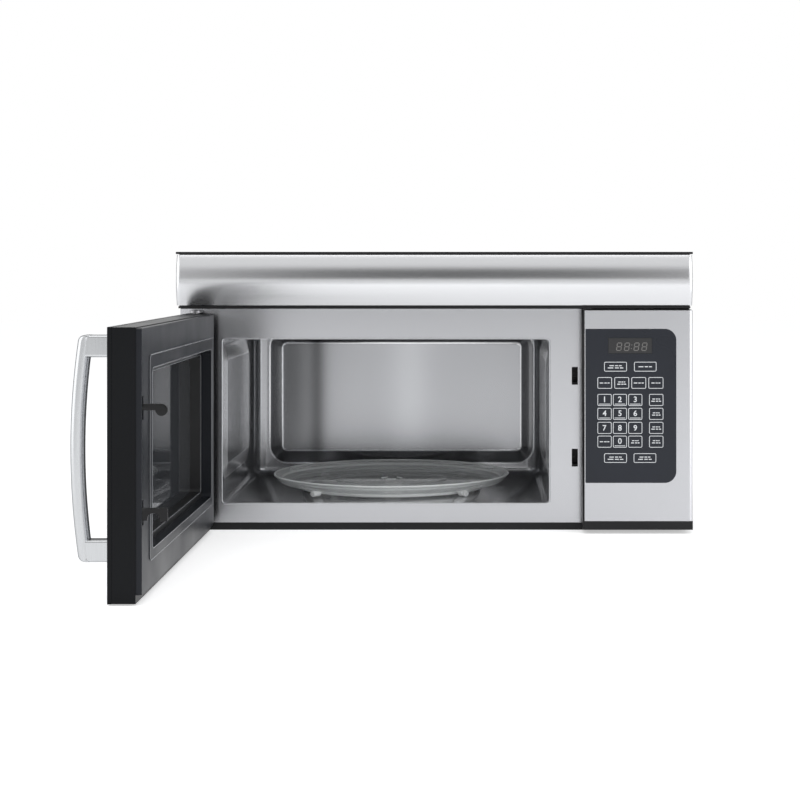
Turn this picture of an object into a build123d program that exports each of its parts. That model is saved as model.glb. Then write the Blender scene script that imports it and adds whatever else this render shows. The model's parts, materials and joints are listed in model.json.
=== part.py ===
from build123d import *
import math
import os

# Over the range microwave, in millimetres. X runs to the right, Y runs back to the wall and Z up.
# The origin is the centre of the rear face. The door is drawn standing open at a right angle.

# ---------------------------------------------------------------- overall sizes
unit_width = 759.0
unit_height = 414.0
case_depth = 400.0          # rear face to the plane of the oven's face frame
case_sheet = 1.2
rear_sheet = 1.5
base = -unit_height / 2
top = unit_height / 2
left = -unit_width / 2
right = unit_width / 2
front = -case_depth
control_width = 161.5       # the control panel and the compartment behind it
grille_height = 83.0        # the vent outlet above the door and the control panel
frame_right = right - control_width
grille_bottom = top - grille_height
bend_radius = 3.0
seat_gap = 0.3              # between pieces that don't touch
running_gap = 0.08          # between a pin and its bore, on the radius

# ---------------------------------------------------------------- oven cavity and face frame
cavity_left_space = 61.7    # between the case's outside and the oven's inside
cavity_right_space = 47.0   # between the oven's inside and the control panel
cavity_top_space = 46.0     # between the oven's inside and the grille
cavity_floor_space = 39.0
cavity_rear_space = 15.0
cavity_left = left + cavity_left_space
cavity_right = frame_right - cavity_right_space
cavity_width = cavity_right - cavity_left
cavity_floor = base + cavity_floor_space
cavity_ceiling = grille_bottom - cavity_top_space
cavity_height = cavity_ceiling - cavity_floor
cavity_depth = case_depth - cavity_rear_space
cavity_back = front + cavity_depth
cavity_sheet = 1.0
cavity_rear_corner = 24.0
cavity_floor_corner = 10.0
cavity_middle = cavity_left + cavity_width / 2
emboss_depth = 5.0
emboss_ring = 20.0
emboss_inner_corner = 8.0
back_panel_left = 28.0      # margins round the pressed panels
back_panel_right = 11.0
back_panel_low = 22.0
back_panel_high = 3.0
side_panel_front = 6.0
side_panel_rear = 75.0
side_panel_low = 34.0
side_panel_high = 11.0
opening_corner = 4.0
frame_sheet = 1.2
frame_bottom = base + 11.0
frame_top = grille_bottom - 1.6
frame_return = 9.0
frame_edge = frame_right + 14.0     # the sheet goes on behind the control panel
frame_back = front + frame_sheet

# ---------------------------------------------------------------- top grille
grille_reach = 45.0         # how far the visor stands in front of the face frame
visor_bottom = grille_bottom + 5.5
visor_top = top - 3.5
visor_bulge = 9.0
visor_depth = 17.0
visor_sheet = 1.0
visor_end_roll = 6.5
grille_wall = 3.0
rib_count = 9
louvre_width = 30.0
louvre_depth = 4.0
louvre_count = 18
louvre_rows = 3
filter_ledge = 16.0

# ---------------------------------------------------------------- control panel
control_reach = 42.0
control_left = frame_right + 0.2
control_bottom = base + 6.0
control_top = grille_bottom - 2.0
control_wall = 2.5
fascia_left = control_left + 2.4
fascia_bottom = base + 18.9
fascia_top = grille_bottom - 3.0
fascia_sheet = 1.0
fascia_roll = 6.0
overlay_left = control_left + 3.6
overlay_right = right - 24.4
overlay_bottom = base + 75.0
overlay_top = fascia_top - 27.0
overlay_corner = 17.0
overlay_thickness = 0.6
overlay_rim = 5.0           # how far the overlay is glued over the fascia's cut-out
display_left = overlay_left + 33.7
display_width = 63.7
display_bottom = overlay_top - 36.0
display_height = 22.5
board_thickness = 1.6
board_stand = 9.0

# ---------------------------------------------------------------- door
door_width = frame_right - 1.5 - left
door_bottom = 2.0           # heights on the door are measured from the unit's underside
door_top = grille_bottom - base - 8.0
door_thickness = 41.0
frame_thickness = 33.0
door_gap = 1.0              # between the shut door and the face frame
hinge_inset = 27.0          # hinge axis from the door's hinge-side edge
hinge_depth = 13.5          # hinge axis from the door's outer face
hinge_x = left + hinge_inset
hinge_y = front - door_gap - door_thickness + hinge_depth
hinge_pin_radius = 4.0
hinge_pin_length = 15.0
hinge_arm_width = 13.0
arm_half = hinge_arm_width / 2
hinge_arm_thickness = 3.0
hinge_arm_bottom = 10.5
hinge_arm_top = door_top + 1.2
door_hinge_round = 27.0
door_outer_corner = 9.0
skin_thickness = 1.0
skin_wrap = 5.0
frame_inset = 0.3
window_left = 55.0
window_right = door_width - 64.0
window_bottom = 56.0
window_top = door_top - 51.0
window_corner = 9.0
window_step = 14.5          # depth of the first step of the window recess
window_depth = 30.0         # depth of the inner glass
step_width = 8.0
pane_thickness = 2.2
outer_pane_thickness = 3.0
screen_thickness = 1.0
outer_window_margin = 27.0
raised_margin = 12.0
choke_left = 24.0
choke_right = door_width - 1.5
choke_bottom = 11.7
choke_top = door_top - 1.5
choke_wall = 2.5
door_cavity_left = 45.0
door_cavity_right = door_width - 48.0
door_cavity_bottom = 46.0
door_cavity_top = door_top - 33.0

# ---------------------------------------------------------------- door handle
handle_place = door_width - 38.0     # middle of the bar, from the hinge-side edge
handle_bottom = 46.0
handle_top = door_top - 10.5
handle_reach_middle = 50.0
handle_reach_end = 40.0
handle_bar_thickness = 16.0
handle_bar_width = 22.0
handle_post_height = 26.0
handle_screw_radius = 2.4
handle_screw_head = 4.6
handle_screw_depth = 14.0

# ---------------------------------------------------------------- latch and door switches
hook_place = door_width - 8.0        # middle of the hooks, from the hinge-side edge
hook_thickness = 4.0
hook_reach = 28.0           # in front of the door's inner face
upper_hook_height = door_top - 96.4
upper_hook_bulb = 7.0
lower_hook_height = 105.0
lower_hook_half = 7.8
latch_lift = 4.0
latch_bar_bottom = lower_hook_height - 21.0
latch_bar_top = upper_hook_height + 35.4
latch_bar_thickness = 3.0
slot_width = 9.0
slot_height = 26.5
upper_slot_height = upper_hook_height + 2.9
lower_slot_height = lower_hook_height + 2.5
hook_x = left + hook_place
hook_tip_y = front - door_gap + hook_reach
switch_gap = 0.4            # between a shut hook and the plunger in front of it
switch_length = 28.0
switch_depth = 15.5
switch_width = 9.7
plunger_radius = 1.5
plunger_reach = 2.6
plunger_travel = 1.5
bracket_plate_x = hook_x + 5.5
bracket_wall = 2.5

# ---------------------------------------------------------------- turntable
tray_x = cavity_middle
tray_y = front + cavity_depth / 2
tray_gap = 4.5              # between the tray's rim and the nearest walls
tray_radius = min(cavity_depth, cavity_width) / 2 - tray_gap
tray_thickness = 4.5
tray_rim_height = 15.0
tray_rim_flare = 14.0
roller_radius = 5.0
roller_length = 14.0
roller_count = 4
roller_first_angle = -44.0
roller_track = tray_radius - 28.0    # radius of the circle that the rollers run on
roller_axle_radius = 1.5
ring_inner = roller_track - 21.0
ring_outer = roller_track - 12.0
ring_thickness = 4.5
coupler_shaft_radius = 3.5
coupler_hub_radius = 17.0
drive_hole_radius = 7.0
drive_motor_radius = 24.5
drive_motor_height = 17.0

# ---------------------------------------------------------------- ventilation
duct_floor_height = 35.0
blower_y = -85.0
blower_height = grille_bottom - base + 14.5
blower_scroll = 58.5
blower_wheel_radius = 45.0
blower_wheel_width = 66.0
blower_blades = 24
blower_inlet = 36.0
blower_wall = 1.5
blower_half = 45.0          # half the width of one scroll
blower_spacing = 105.0      # middle of each scroll from the middle of the motor
blower_x = -65.0
blower_outlet_height = 48.0
blower_outlet_reach = 66.0
blower_motor_radius = 40.0
blower_motor_length = 80.0
blower_shaft_radius = 4.0
fan_x = right - 94.5
fan_height = grille_bottom - base - 106.0
fan_y = -78.0
fan_radius = 54.0
fan_blades = 5
fan_hub_radius = 14.0
fan_shaft_radius = 2.5
fan_motor_size = 58.0
grease_filter_width = 186.0
grease_filter_depth = 132.0
grease_filter_thickness = 9.0
grease_filter_x = right - 124.5
grease_filter_y = -125.0
grease_lip = 7.0
charcoal_width = 380.0
charcoal_height = 68.0
charcoal_thickness = 13.0
exhaust_width = 254.0
exhaust_depth = 83.0
exhaust_y = -62.0
lens_width = 74.0
lens_depth = 52.0
lens_thickness = 2.4
lens_lip = 5.0
lamp_x = 150.0
lamp_y = front + 62.0
bulb_radius = 9.5
bulb_length = 34.0
socket_length = 18.0
socket_side = 26.0
lamp_z = base + 18.0
oven_lamp_x = cavity_right + cavity_sheet - emboss_depth + socket_side / 2
oven_lamp_y = -140.0
oven_lamp_z = cavity_ceiling - 60.0

# ---------------------------------------------------------------- microwave drive
waveguide_left = cavity_right - 113.0
waveguide_right = right - 75.5
waveguide_y = -245.0
waveguide_depth = 88.0
waveguide_height = 40.0
waveguide_sheet = 1.2
feed_width = 76.0
feed_depth = 66.0
feed_x = waveguide_left + 14.0 + feed_width / 2
guide_bottom = cavity_ceiling + cavity_sheet
mica_thickness = 0.8
magnetron_x = right - 123.5
magnetron_width = 84.0
magnetron_depth = 66.0
magnetron_height = 58.0
transformer_width = 100.0
transformer_depth = 62.0
transformer_height = 84.0
transformer_x = right - 87.5
transformer_y = front + 100.0
capacitor_width = 92.0
capacitor_depth = 34.0
capacitor_height = 54.0
capacitor_x = right - 87.5
capacitor_y = -150.0

os.makedirs("parts", exist_ok=True)


# ================================================================ shared shapes
def block(x0, x1, y0, y1, z0, z1, mode=Mode.ADD):
    """A box between two corners, in the unit's own axes."""
    with Locations(((x0 + x1) / 2, (y0 + y1) / 2, (z0 + z1) / 2)):
        Box(x1 - x0, y1 - y0, z1 - z0, mode=mode)


def slab(x, y, wide, deep, z0, z1, mode=Mode.ADD):
    """A box centred on a place in plan, between two heights."""
    block(x - wide / 2, x + wide / 2, y - deep / 2, y + deep / 2, z0, z1, mode)


def rod(plane, radius, length, mode=Mode.ADD):
    """A round bar that starts on a plane and runs along its normal."""
    with BuildSketch(plane) as section:
        Circle(radius)
    extrude(section.sketch, amount=length, mode=mode)


def door_x(depth):
    """X of a point at this depth behind the open door's outer face."""
    return hinge_x + depth - hinge_depth


def door_y(place):
    """Y of a point at this distance from the open door's hinge-side edge."""
    return hinge_y - (place - hinge_inset)


def door_face(depth):
    """Plane of the open door: x runs from the hinge edge, y up, normal outwards."""
    return Plane(origin=(door_x(depth), door_y(0), base), x_dir=(0, -1, 0), z_dir=(-1, 0, 0))


def door_section(height):
    """Plane across the open door, looking down: x from the hinge edge, y into the thickness."""
    return Plane(origin=(door_x(0), door_y(0), base + height), x_dir=(0, -1, 0), z_dir=(0, 0, 1))


def door_block(u0, u1, t0, t1, h0, h1, mode=Mode.ADD):
    """A box on the door, from its place, depth and height."""
    block(door_x(t0), door_x(t1), door_y(u1), door_y(u0), base + h0, base + h1, mode)


def panel(x0, x1, y0, y1, corner=0.0, mode=Mode.ADD):
    """A rectangle of a sketch between two corners, with round corners if asked."""
    with Locations(((x0 + x1) / 2, (y0 + y1) / 2)):
        if corner > 0:
            RectangleRounded(x1 - x0, y1 - y0, corner, mode=mode)
        else:
            Rectangle(x1 - x0, y1 - y0, mode=mode)


def door_slab(t0, t1, u0, u1, h0, h1, corner=0.0, mode=Mode.ADD):
    """A flat slab of the door with round corners in its face."""
    with BuildSketch(door_face(t1)) as outline:
        panel(u0, u1, h0, h1, corner)
    extrude(outline.sketch, amount=t1 - t0, mode=mode)


def hinge_slot(low, high):
    """The slot through which a hinge arm comes out of the front sheet."""
    block(hinge_x - arm_half - seat_gap, hinge_x + arm_half + seat_gap, front, frame_back,
          base + low - seat_gap, base + high + seat_gap, Mode.SUBTRACT)


def save(piece, name):
    """Label a finished piece and write its file."""
    piece.part.label = name
    export_step(piece.part, "parts/" + name + ".step")


# ================================================================ casing
flange = 14.0
screw_radius = 1.75
screw_head_radius = 3.4
screw_length = 9.0
bolt_spacing = 520.0
bolt_y = -250.0
bolt_radius = 2.55
bolt_boss_radius = 8.0
bolt_boss_height = 9.0
bush_x = right - 59.5
bush_y = -60.0
bush_radius = 11.0
rear_screws = [(x, base + 7.0) for x in (-300.0, -100.0, 100.0, 300.0)]
rear_screws += [(x, top - 7.0) for x in (-300.0, -100.0, 100.0, 300.0)]
rear_screws += [(x, z) for x in (left + 7.0, right - 7.0) for z in (-120.0, 0.0, 120.0)]

with BuildPart() as case_wrap:
    wrap_front = front + frame_sheet
    block(left, right, wrap_front, -rear_sheet, base, top)
    fillet(case_wrap.edges().filter_by(Axis.Y).group_by(Axis.Z)[-1], bend_radius)
    with BuildSketch(Plane.XZ.offset(rear_sheet + case_sheet)):
        panel(left + case_sheet, right - case_sheet, base, top - case_sheet)
    extrude(amount=case_depth, mode=Mode.SUBTRACT)
    block(left + flange, right - flange, -rear_sheet - case_sheet, -rear_sheet, base, top - flange,
          Mode.SUBTRACT)
    block(left + case_sheet, right - case_sheet, -rear_sheet - case_sheet, -rear_sheet, base,
          base + case_sheet, Mode.SUBTRACT)
    for bolt_x in (-bolt_spacing / 2, bolt_spacing / 2):
        rod(Plane((bolt_x, bolt_y, top - case_sheet - bolt_boss_height)), bolt_boss_radius,
            bolt_boss_height)
        rod(Plane((bolt_x, bolt_y, top - case_sheet - bolt_boss_height)), bolt_radius,
            bolt_boss_height + case_sheet, mode=Mode.SUBTRACT)
    slab(0, exhaust_y, exhaust_width, exhaust_depth, top - case_sheet, top, Mode.SUBTRACT)
    rod(Plane((bush_x, bush_y, top - case_sheet)), bush_radius, case_sheet, mode=Mode.SUBTRACT)
    with BuildSketch(Plane((right, -235.0, base + 240.0), x_dir=(0, 1, 0), z_dir=(1, 0, 0))):
        with GridLocations(9.0, 34.0, 12, 3):
            SlotOverall(26.0, 3.5, rotation=90)
    extrude(amount=-case_sheet, mode=Mode.SUBTRACT)
    with Locations([(x, -rear_sheet, z) for x, z in rear_screws if z > base + flange]):
        with Locations(Rotation(90, 0, 0)):
            Cylinder(screw_radius, 4 * case_sheet, mode=Mode.SUBTRACT)
save(case_wrap, "case_wrap")

with BuildPart() as rear_panel:
    block(left, right, -rear_sheet, 0, base, top)
    fillet(rear_panel.edges().filter_by(Axis.Y).group_by(Axis.Z)[-1], bend_radius)
    with Locations(*[Plane((x, 0, z), x_dir=(-1, 0, 0), z_dir=(0, 1, 0)) for x, z in rear_screws]):
        CounterSinkHole(radius=screw_radius, counter_sink_radius=screw_head_radius, depth=rear_sheet)
    with BuildSketch(Plane((fan_x, 0, base + fan_height), x_dir=(-1, 0, 0), z_dir=(0, 1, 0))):
        with GridLocations(11.0, 40.0, 9, 3):
            SlotOverall(32.0, 5.0, rotation=90)
    extrude(amount=-rear_sheet, mode=Mode.SUBTRACT)
    for tab_x in (-262.5, -87.5, 87.5, 262.5):
        block(tab_x - 16.0, tab_x + 16.0, -rear_sheet, 0, base + 18.0, base + 23.0, Mode.SUBTRACT)
save(rear_panel, "rear_panel")

with BuildPart() as base_pan:
    pan_left = left + case_sheet
    pan_right = right - case_sheet
    block(pan_left, pan_right, wrap_front, -rear_sheet, base, base + case_sheet)
    block(left + flange, right - flange, -rear_sheet - case_sheet, -rear_sheet, base, base + flange)
    block(left, frame_edge, front, wrap_front, base, frame_bottom)
    block(frame_edge, right, front, wrap_front, base, control_bottom + 8.0)
    hinge_slot(hinge_arm_bottom, hinge_arm_bottom + hinge_arm_thickness)
    for filter_x in (-grease_filter_x, grease_filter_x):
        slab(filter_x, grease_filter_y, grease_filter_width - 2 * grease_lip,
             grease_filter_depth - 2 * grease_lip, base, base + case_sheet, Mode.SUBTRACT)
    for lens_x in (-lamp_x, lamp_x):
        slab(lens_x, lamp_y, lens_width - 2 * lens_lip, lens_depth - 2 * lens_lip, base, base + case_sheet,
             Mode.SUBTRACT)
    with BuildSketch(Plane((0, -250.0, base))):
        with GridLocations(12.0, 1.0, 20, 1):
            SlotOverall(34.0, 4.0, rotation=90)
    extrude(amount=case_sheet, mode=Mode.SUBTRACT)
    with Locations([(x, -rear_sheet, z) for x, z in rear_screws if z < base + flange]):
        with Locations(Rotation(90, 0, 0)):
            Cylinder(screw_radius, 4 * case_sheet, mode=Mode.SUBTRACT)
save(base_pan, "base_pan")

with BuildPart() as case_screws:
    for x, z in rear_screws:
        with BuildSketch(Plane((x, 0, z), x_dir=(1, 0, 0), z_dir=(0, 0, 1))):
            with BuildLine():
                Polyline((0, 0), (screw_head_radius, 0), (screw_radius, -rear_sheet),
                         (screw_radius, -screw_length), (0, -screw_length), close=True)
            make_face()
        revolve(axis=Axis((x, 0, z), (0, 1, 0)))
save(case_screws, "case_screws")

with BuildPart() as duct_floor:
    duct_z = base + duct_floor_height
    duct_left = cavity_right + cavity_sheet
    block(duct_left, pan_right, wrap_front, -rear_sheet - case_sheet, duct_z, duct_z + case_sheet)
    block(duct_left, pan_right, wrap_front, wrap_front + case_sheet, base + case_sheet, duct_z)
    block(duct_left, pan_right, -rear_sheet - 2 * case_sheet, -rear_sheet - case_sheet, base + case_sheet,
          duct_z)
    with Locations([(x, -rear_sheet, z) for x, z in rear_screws if z < base + flange and x > duct_left]):
        with Locations(Rotation(90, 0, 0)):
            Cylinder(screw_radius, 6 * case_sheet, mode=Mode.SUBTRACT)
save(duct_floor, "duct_floor")

with BuildPart() as duct_cover:
    cover_lip = 12.0
    slab(0, exhaust_y, exhaust_width + 2 * cover_lip, exhaust_depth + 2 * cover_lip, top - 2 * case_sheet,
         top - case_sheet)
    slab(0, exhaust_y, exhaust_width - 2 * seat_gap, exhaust_depth - 2 * seat_gap, top - case_sheet, top)
save(duct_cover, "duct_cover")

with BuildPart() as cord_bush:
    rod(Plane((bush_x, bush_y, top - case_sheet)), bush_radius - 0.1, case_sheet)
    rod(Plane((bush_x, bush_y, top - case_sheet - 3.0)), bush_radius + 3.0, 3.0)
    rod(Plane((bush_x, bush_y, top - case_sheet - 16.0)), bush_radius - 3.0, 13.0)
    rod(Plane((bush_x, bush_y, top - case_sheet - 16.0)), 4.2, 16.0 + case_sheet, mode=Mode.SUBTRACT)
save(cord_bush, "cord_bush")


# ================================================================ oven cavity
def embossed_panel(plane, width, height):
    """A panel pressed a little into the oven: a slanted ring, then a flat inner panel."""
    with BuildSketch(plane) as rim:
        RectangleRounded(width, height, emboss_inner_corner + emboss_ring / 2)
    with BuildSketch(plane.offset(-emboss_depth)) as inner:
        RectangleRounded(width - 2 * emboss_ring, height - 2 * emboss_ring, emboss_inner_corner)
    loft([rim.sketch, inner.sketch], ruled=True, mode=Mode.SUBTRACT)


back_panel_width = cavity_width - back_panel_left - back_panel_right
back_panel_height = cavity_height - back_panel_low - back_panel_high
back_panel_x = cavity_left + back_panel_left + back_panel_width / 2
back_panel_z = cavity_floor + back_panel_low + back_panel_height / 2
side_panel_length = cavity_depth - side_panel_front - side_panel_rear
side_panel_height = cavity_height - side_panel_low - side_panel_high
side_panel_z = cavity_floor + side_panel_low + side_panel_height / 2
side_panel_y = front + side_panel_front + side_panel_length / 2


def cavity_shape(grow):
    """The oven's space: box, round rear and floor corners, and embossed back and side panels."""
    with BuildPart(mode=Mode.PRIVATE) as space:
        block(cavity_left - grow, cavity_right + grow, front + frame_sheet, cavity_back + grow,
              cavity_floor - grow, cavity_ceiling + grow)
        rear_edges = space.edges().filter_by(Axis.Z).group_by(Axis.Y)[-1]
        fillet(rear_edges, cavity_rear_corner + grow)
        long_edges = space.edges().filter_by(Axis.Y)
        fillet(long_edges, cavity_floor_corner + grow)
        back_wall = Plane((back_panel_x, cavity_back + grow, back_panel_z), (-1, 0, 0), (0, 1, 0))
        embossed_panel(back_wall, back_panel_width, back_panel_height)
        for side, wall_x in ((-1, cavity_left - grow), (1, cavity_right + grow)):
            side_wall = Plane((wall_x, side_panel_y, side_panel_z), (0, -side, 0), (side, 0, 0))
            embossed_panel(side_wall, side_panel_length, side_panel_height)
    return space.part


with BuildPart() as oven_cavity:
    add(cavity_shape(cavity_sheet))
    add(cavity_shape(0.0), mode=Mode.SUBTRACT)
    motor_top = cavity_floor - cavity_sheet
    rod(Plane((tray_x, tray_y, motor_top)), drive_hole_radius, cavity_sheet, mode=Mode.SUBTRACT)
    slab(feed_x, waveguide_y, feed_width, feed_depth, cavity_ceiling, guide_bottom, Mode.SUBTRACT)
    lamp_wall = Plane((cavity_right - emboss_depth - cavity_sheet, oven_lamp_y - 22.0, oven_lamp_z),
                      (0, 1, 0), (1, 0, 0))
    with BuildSketch(lamp_wall) as lamp_holes:
        with GridLocations(5.0, 5.0, 6, 5):
            Circle(1.5)
    extrude(lamp_holes.sketch, amount=emboss_depth + 2 * cavity_sheet, mode=Mode.SUBTRACT)
save(oven_cavity, "oven_cavity")


# ================================================================ face frame and hinges
def latch_slots(y0, y1, grow):
    """The two slots that the door's hooks go through."""
    for slot_middle in (upper_slot_height, lower_slot_height):
        block(hook_x - slot_width / 2 - grow, hook_x + slot_width / 2 + grow, y0, y1,
              base + slot_middle - slot_height / 2 - grow, base + slot_middle + slot_height / 2 + grow,
              Mode.SUBTRACT)


with BuildPart() as face_frame:
    block(left, frame_edge, front, frame_back, frame_bottom, frame_top)
    block(left + case_sheet, frame_edge, frame_back, frame_back + frame_return, frame_top - frame_sheet,
          frame_top)
    with BuildSketch(Plane.XZ.offset(-front)):
        panel(cavity_left, cavity_right, cavity_floor, cavity_ceiling, opening_corner)
    extrude(amount=-frame_sheet, mode=Mode.SUBTRACT)
    mouth = face_frame.edges().filter_by(lambda edge: abs(edge.center().Y - front) < 0.01
                                         and cavity_left - 1 < edge.center().X < cavity_right + 1
                                         and cavity_floor - 1 < edge.center().Z < cavity_ceiling + 1)
    fillet(mouth, frame_sheet * 0.7)
    latch_slots(front, frame_back, 0.0)
    hinge_slot(hinge_arm_top, hinge_arm_top + hinge_arm_thickness)
    hinge_slot(hinge_arm_bottom, hinge_arm_bottom + hinge_arm_thickness)
save(face_frame, "face_frame")


def hinge_bracket(arm_low, plate_low, plate_high, pin_start, pin_way):
    """An arm through the front sheet, its plate behind the sheet, and the pin that the door turns on."""
    with BuildPart() as bracket:
        block(hinge_x - arm_half, hinge_x + arm_half, hinge_y, frame_back + 2.5, base + arm_low,
              base + arm_low + hinge_arm_thickness)
        rod(Plane((hinge_x, hinge_y, base + arm_low)), arm_half + 2.0, hinge_arm_thickness)
        slab(hinge_x, frame_back + 1.25, 38.0, 2.5, base + plate_low, base + plate_high)
        rod(Plane((hinge_x, hinge_y, base + pin_start)), hinge_pin_radius, pin_way * hinge_pin_length)
    return bracket


top_hinge = hinge_bracket(hinge_arm_top, hinge_arm_top - 26.0, hinge_arm_top + hinge_arm_thickness,
                          hinge_arm_top, -1)
save(top_hinge, "top_hinge")
bottom_pin_start = hinge_arm_bottom + hinge_arm_thickness
bottom_hinge = hinge_bracket(hinge_arm_bottom, hinge_arm_bottom, hinge_arm_bottom + 26.0, bottom_pin_start,
                             1)
save(bottom_hinge, "bottom_hinge")

with BuildPart() as mica_cover:
    mica_rim = 7.0
    slab(feed_x, waveguide_y, feed_width + 2 * mica_rim, feed_depth + 2 * mica_rim,
         cavity_ceiling - mica_thickness, cavity_ceiling)
save(mica_cover, "mica_cover")


# ================================================================ top grille
grille_back = front + frame_sheet
visor_back = front - grille_reach + visor_depth
visor_front = front - grille_reach


def visor_solid(inset):
    """The visor's space: a bowed front between two rolled ends."""
    with BuildPart(mode=Mode.PRIVATE) as space:
        low = (visor_front + visor_bulge + inset, visor_bottom + inset)
        middle = (visor_front + inset, (visor_bottom + visor_top) / 2)
        high = (visor_front + visor_bulge + inset, visor_top - inset)
        with BuildSketch(Plane.YZ.offset(left + inset)):
            with BuildLine():
                Line((visor_back, visor_bottom + inset), low)
                ThreePointArc(low, middle, high)
                Line(high, (visor_back, visor_top - inset))
                Line((visor_back, visor_top - inset), (visor_back, visor_bottom + inset))
            make_face()
        extrude(amount=unit_width - 2 * inset)
        ends = space.edges().filter_by(GeomType.CIRCLE)
        fillet(ends, visor_end_roll - inset)
    return space.part


with BuildPart() as grille_visor:
    add(visor_solid(0.0))
    add(visor_solid(visor_sheet), mode=Mode.SUBTRACT)
save(grille_visor, "grille_visor")

with BuildPart() as grille_frame:
    grille_end = right - 3.0
    lip_front = visor_front + 2.0
    block(left, right, lip_front, grille_back, top - 3.2, top)
    fillet(grille_frame.edges().filter_by(Axis.Z), 2.0)
    block(-grille_end, grille_end, visor_front + visor_bulge, grille_back, grille_bottom,
          grille_bottom + grille_wall)
    rib_front = visor_back + seat_gap
    for rib in range(rib_count):
        rib_x = -grille_end + rib * (2 * grille_end - grille_wall) / (rib_count - 1)
        block(rib_x, rib_x + grille_wall, rib_front, grille_back, grille_bottom + grille_wall, top - 3.2)
    with BuildSketch(Plane((0, (rib_front + grille_back) / 2, top))):
        with GridLocations(2 * grille_end / louvre_count, 8.0, louvre_count, louvre_rows):
            SlotOverall(louvre_width, louvre_depth)
    extrude(amount=-3.2, mode=Mode.SUBTRACT)
    block(-charcoal_width / 2 - 6.0, charcoal_width / 2 + 6.0, grille_back, grille_back + filter_ledge,
          grille_bottom, grille_bottom + grille_wall)
    block(-charcoal_width / 2 - 6.0, charcoal_width / 2 + 6.0, grille_back + charcoal_thickness + seat_gap,
          grille_back + filter_ledge, grille_bottom + grille_wall, grille_bottom + grille_wall + 6.0)
save(grille_frame, "grille_frame")

with BuildPart() as charcoal_filter:
    charcoal_bottom = grille_bottom + grille_wall
    block(-charcoal_width / 2, charcoal_width / 2, grille_back, grille_back + charcoal_thickness,
          charcoal_bottom, charcoal_bottom + charcoal_height)
    with BuildSketch(Plane.XZ.offset(-grille_back)):
        with Locations((0, charcoal_bottom + charcoal_height / 2)):
            with GridLocations(charcoal_width / 4, 1.0, 4, 1):
                RectangleRounded(charcoal_width / 4 - 10.0, charcoal_height - 14.0, 3.0)
    extrude(amount=-1.5, mode=Mode.SUBTRACT)
save(charcoal_filter, "charcoal_filter")


# ================================================================ control panel
control_front = front - control_reach
housing_front = control_front + fascia_sheet
housing_right = right - fascia_sheet - 0.2
cutout_left = overlay_left + overlay_rim
cutout_right = overlay_right - overlay_rim
cutout_bottom = overlay_bottom + overlay_rim
cutout_top = overlay_top - overlay_rim
board_left = control_left + 15.8
board_right = right - 33.5
board_bottom = base + 60.0
board_top = fascia_top - 28.0
board_front = housing_front + control_wall + board_stand


def overlay_sketch(x0, x1, z0, z1, corner):
    """A panel that is square on its left and round on its right."""
    panel(x0, x1, z0, z1, corner)
    panel(x0, x0 + 2 * corner, z0, z1, 1.5)


def display_hole(y0, y1):
    """The hole that the display looks out of."""
    block(display_left - seat_gap, display_left + display_width + seat_gap, y0, y1,
          display_bottom - seat_gap, display_bottom + display_height + seat_gap, Mode.SUBTRACT)


with BuildPart() as control_housing:
    block(control_left, housing_right, housing_front, front, control_bottom, control_top)
    housing_edge = control_housing.edges().filter_by(Axis.Z).group_by(Axis.X)[-1].sort_by(Axis.Y)[0]
    fillet(housing_edge, fascia_roll - fascia_sheet)
    block(control_left + control_wall, housing_right - control_wall, housing_front + control_wall, front,
          control_bottom + control_wall, control_top - control_wall, mode=Mode.SUBTRACT)
    block(housing_right - 1.0, right, housing_front, front, control_bottom, fascia_bottom - seat_gap)
    block(control_left, right, control_front + seat_gap, housing_front, control_bottom,
          fascia_bottom - seat_gap)
    with BuildSketch(Plane.XZ.offset(-housing_front)):
        overlay_sketch(cutout_left + seat_gap, cutout_right - seat_gap, cutout_bottom + seat_gap,
                       cutout_top - seat_gap, overlay_corner - overlay_rim)
    extrude(amount=fascia_sheet)
    display_hole(control_front, housing_front + control_wall)
    for post_x in (board_left + 6.0, board_right - 6.0):
        for post_z in (board_bottom + 6.0, board_top - 6.0):
            rod(Plane((post_x, housing_front + control_wall, post_z), z_dir=(0, 1, 0)), 3.0, board_stand)
save(control_housing, "control_housing")

with BuildPart() as control_fascia:
    fascia_back = front - 2.0
    block(fascia_left, right, control_front, fascia_back, fascia_bottom, fascia_top)
    outer_edge = control_fascia.edges().filter_by(Axis.Z).group_by(Axis.X)[-1].sort_by(Axis.Y)[0]
    fillet(outer_edge, fascia_roll)
    with BuildSketch(Plane.XY.offset(fascia_bottom)) as hollow:
        panel(fascia_left, right - fascia_sheet, control_front + fascia_sheet, fascia_back)
        inner_corner = hollow.vertices().group_by(Axis.X)[-1].sort_by(Axis.Y)[0]
        fillet(inner_corner, fascia_roll - fascia_sheet)
    extrude(amount=fascia_top - fascia_bottom, mode=Mode.SUBTRACT)
    with BuildSketch(Plane.XZ.offset(-control_front)):
        overlay_sketch(cutout_left, cutout_right, cutout_bottom, cutout_top, overlay_corner - overlay_rim)
    extrude(amount=-fascia_sheet, mode=Mode.SUBTRACT)
save(control_fascia, "control_fascia")

with BuildPart() as keypad_overlay:
    with BuildSketch(Plane.XZ.offset(-control_front)):
        overlay_sketch(overlay_left, overlay_right, overlay_bottom, overlay_top, overlay_corner)
    extrude(amount=overlay_thickness)
    display_hole(control_front - overlay_thickness, control_front)
save(keypad_overlay, "keypad_overlay")

with BuildPart() as display_module:
    block(display_left, display_left + display_width, control_front - overlay_thickness + 0.1, board_front,
          display_bottom, display_bottom + display_height)
save(display_module, "display_module")

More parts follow.
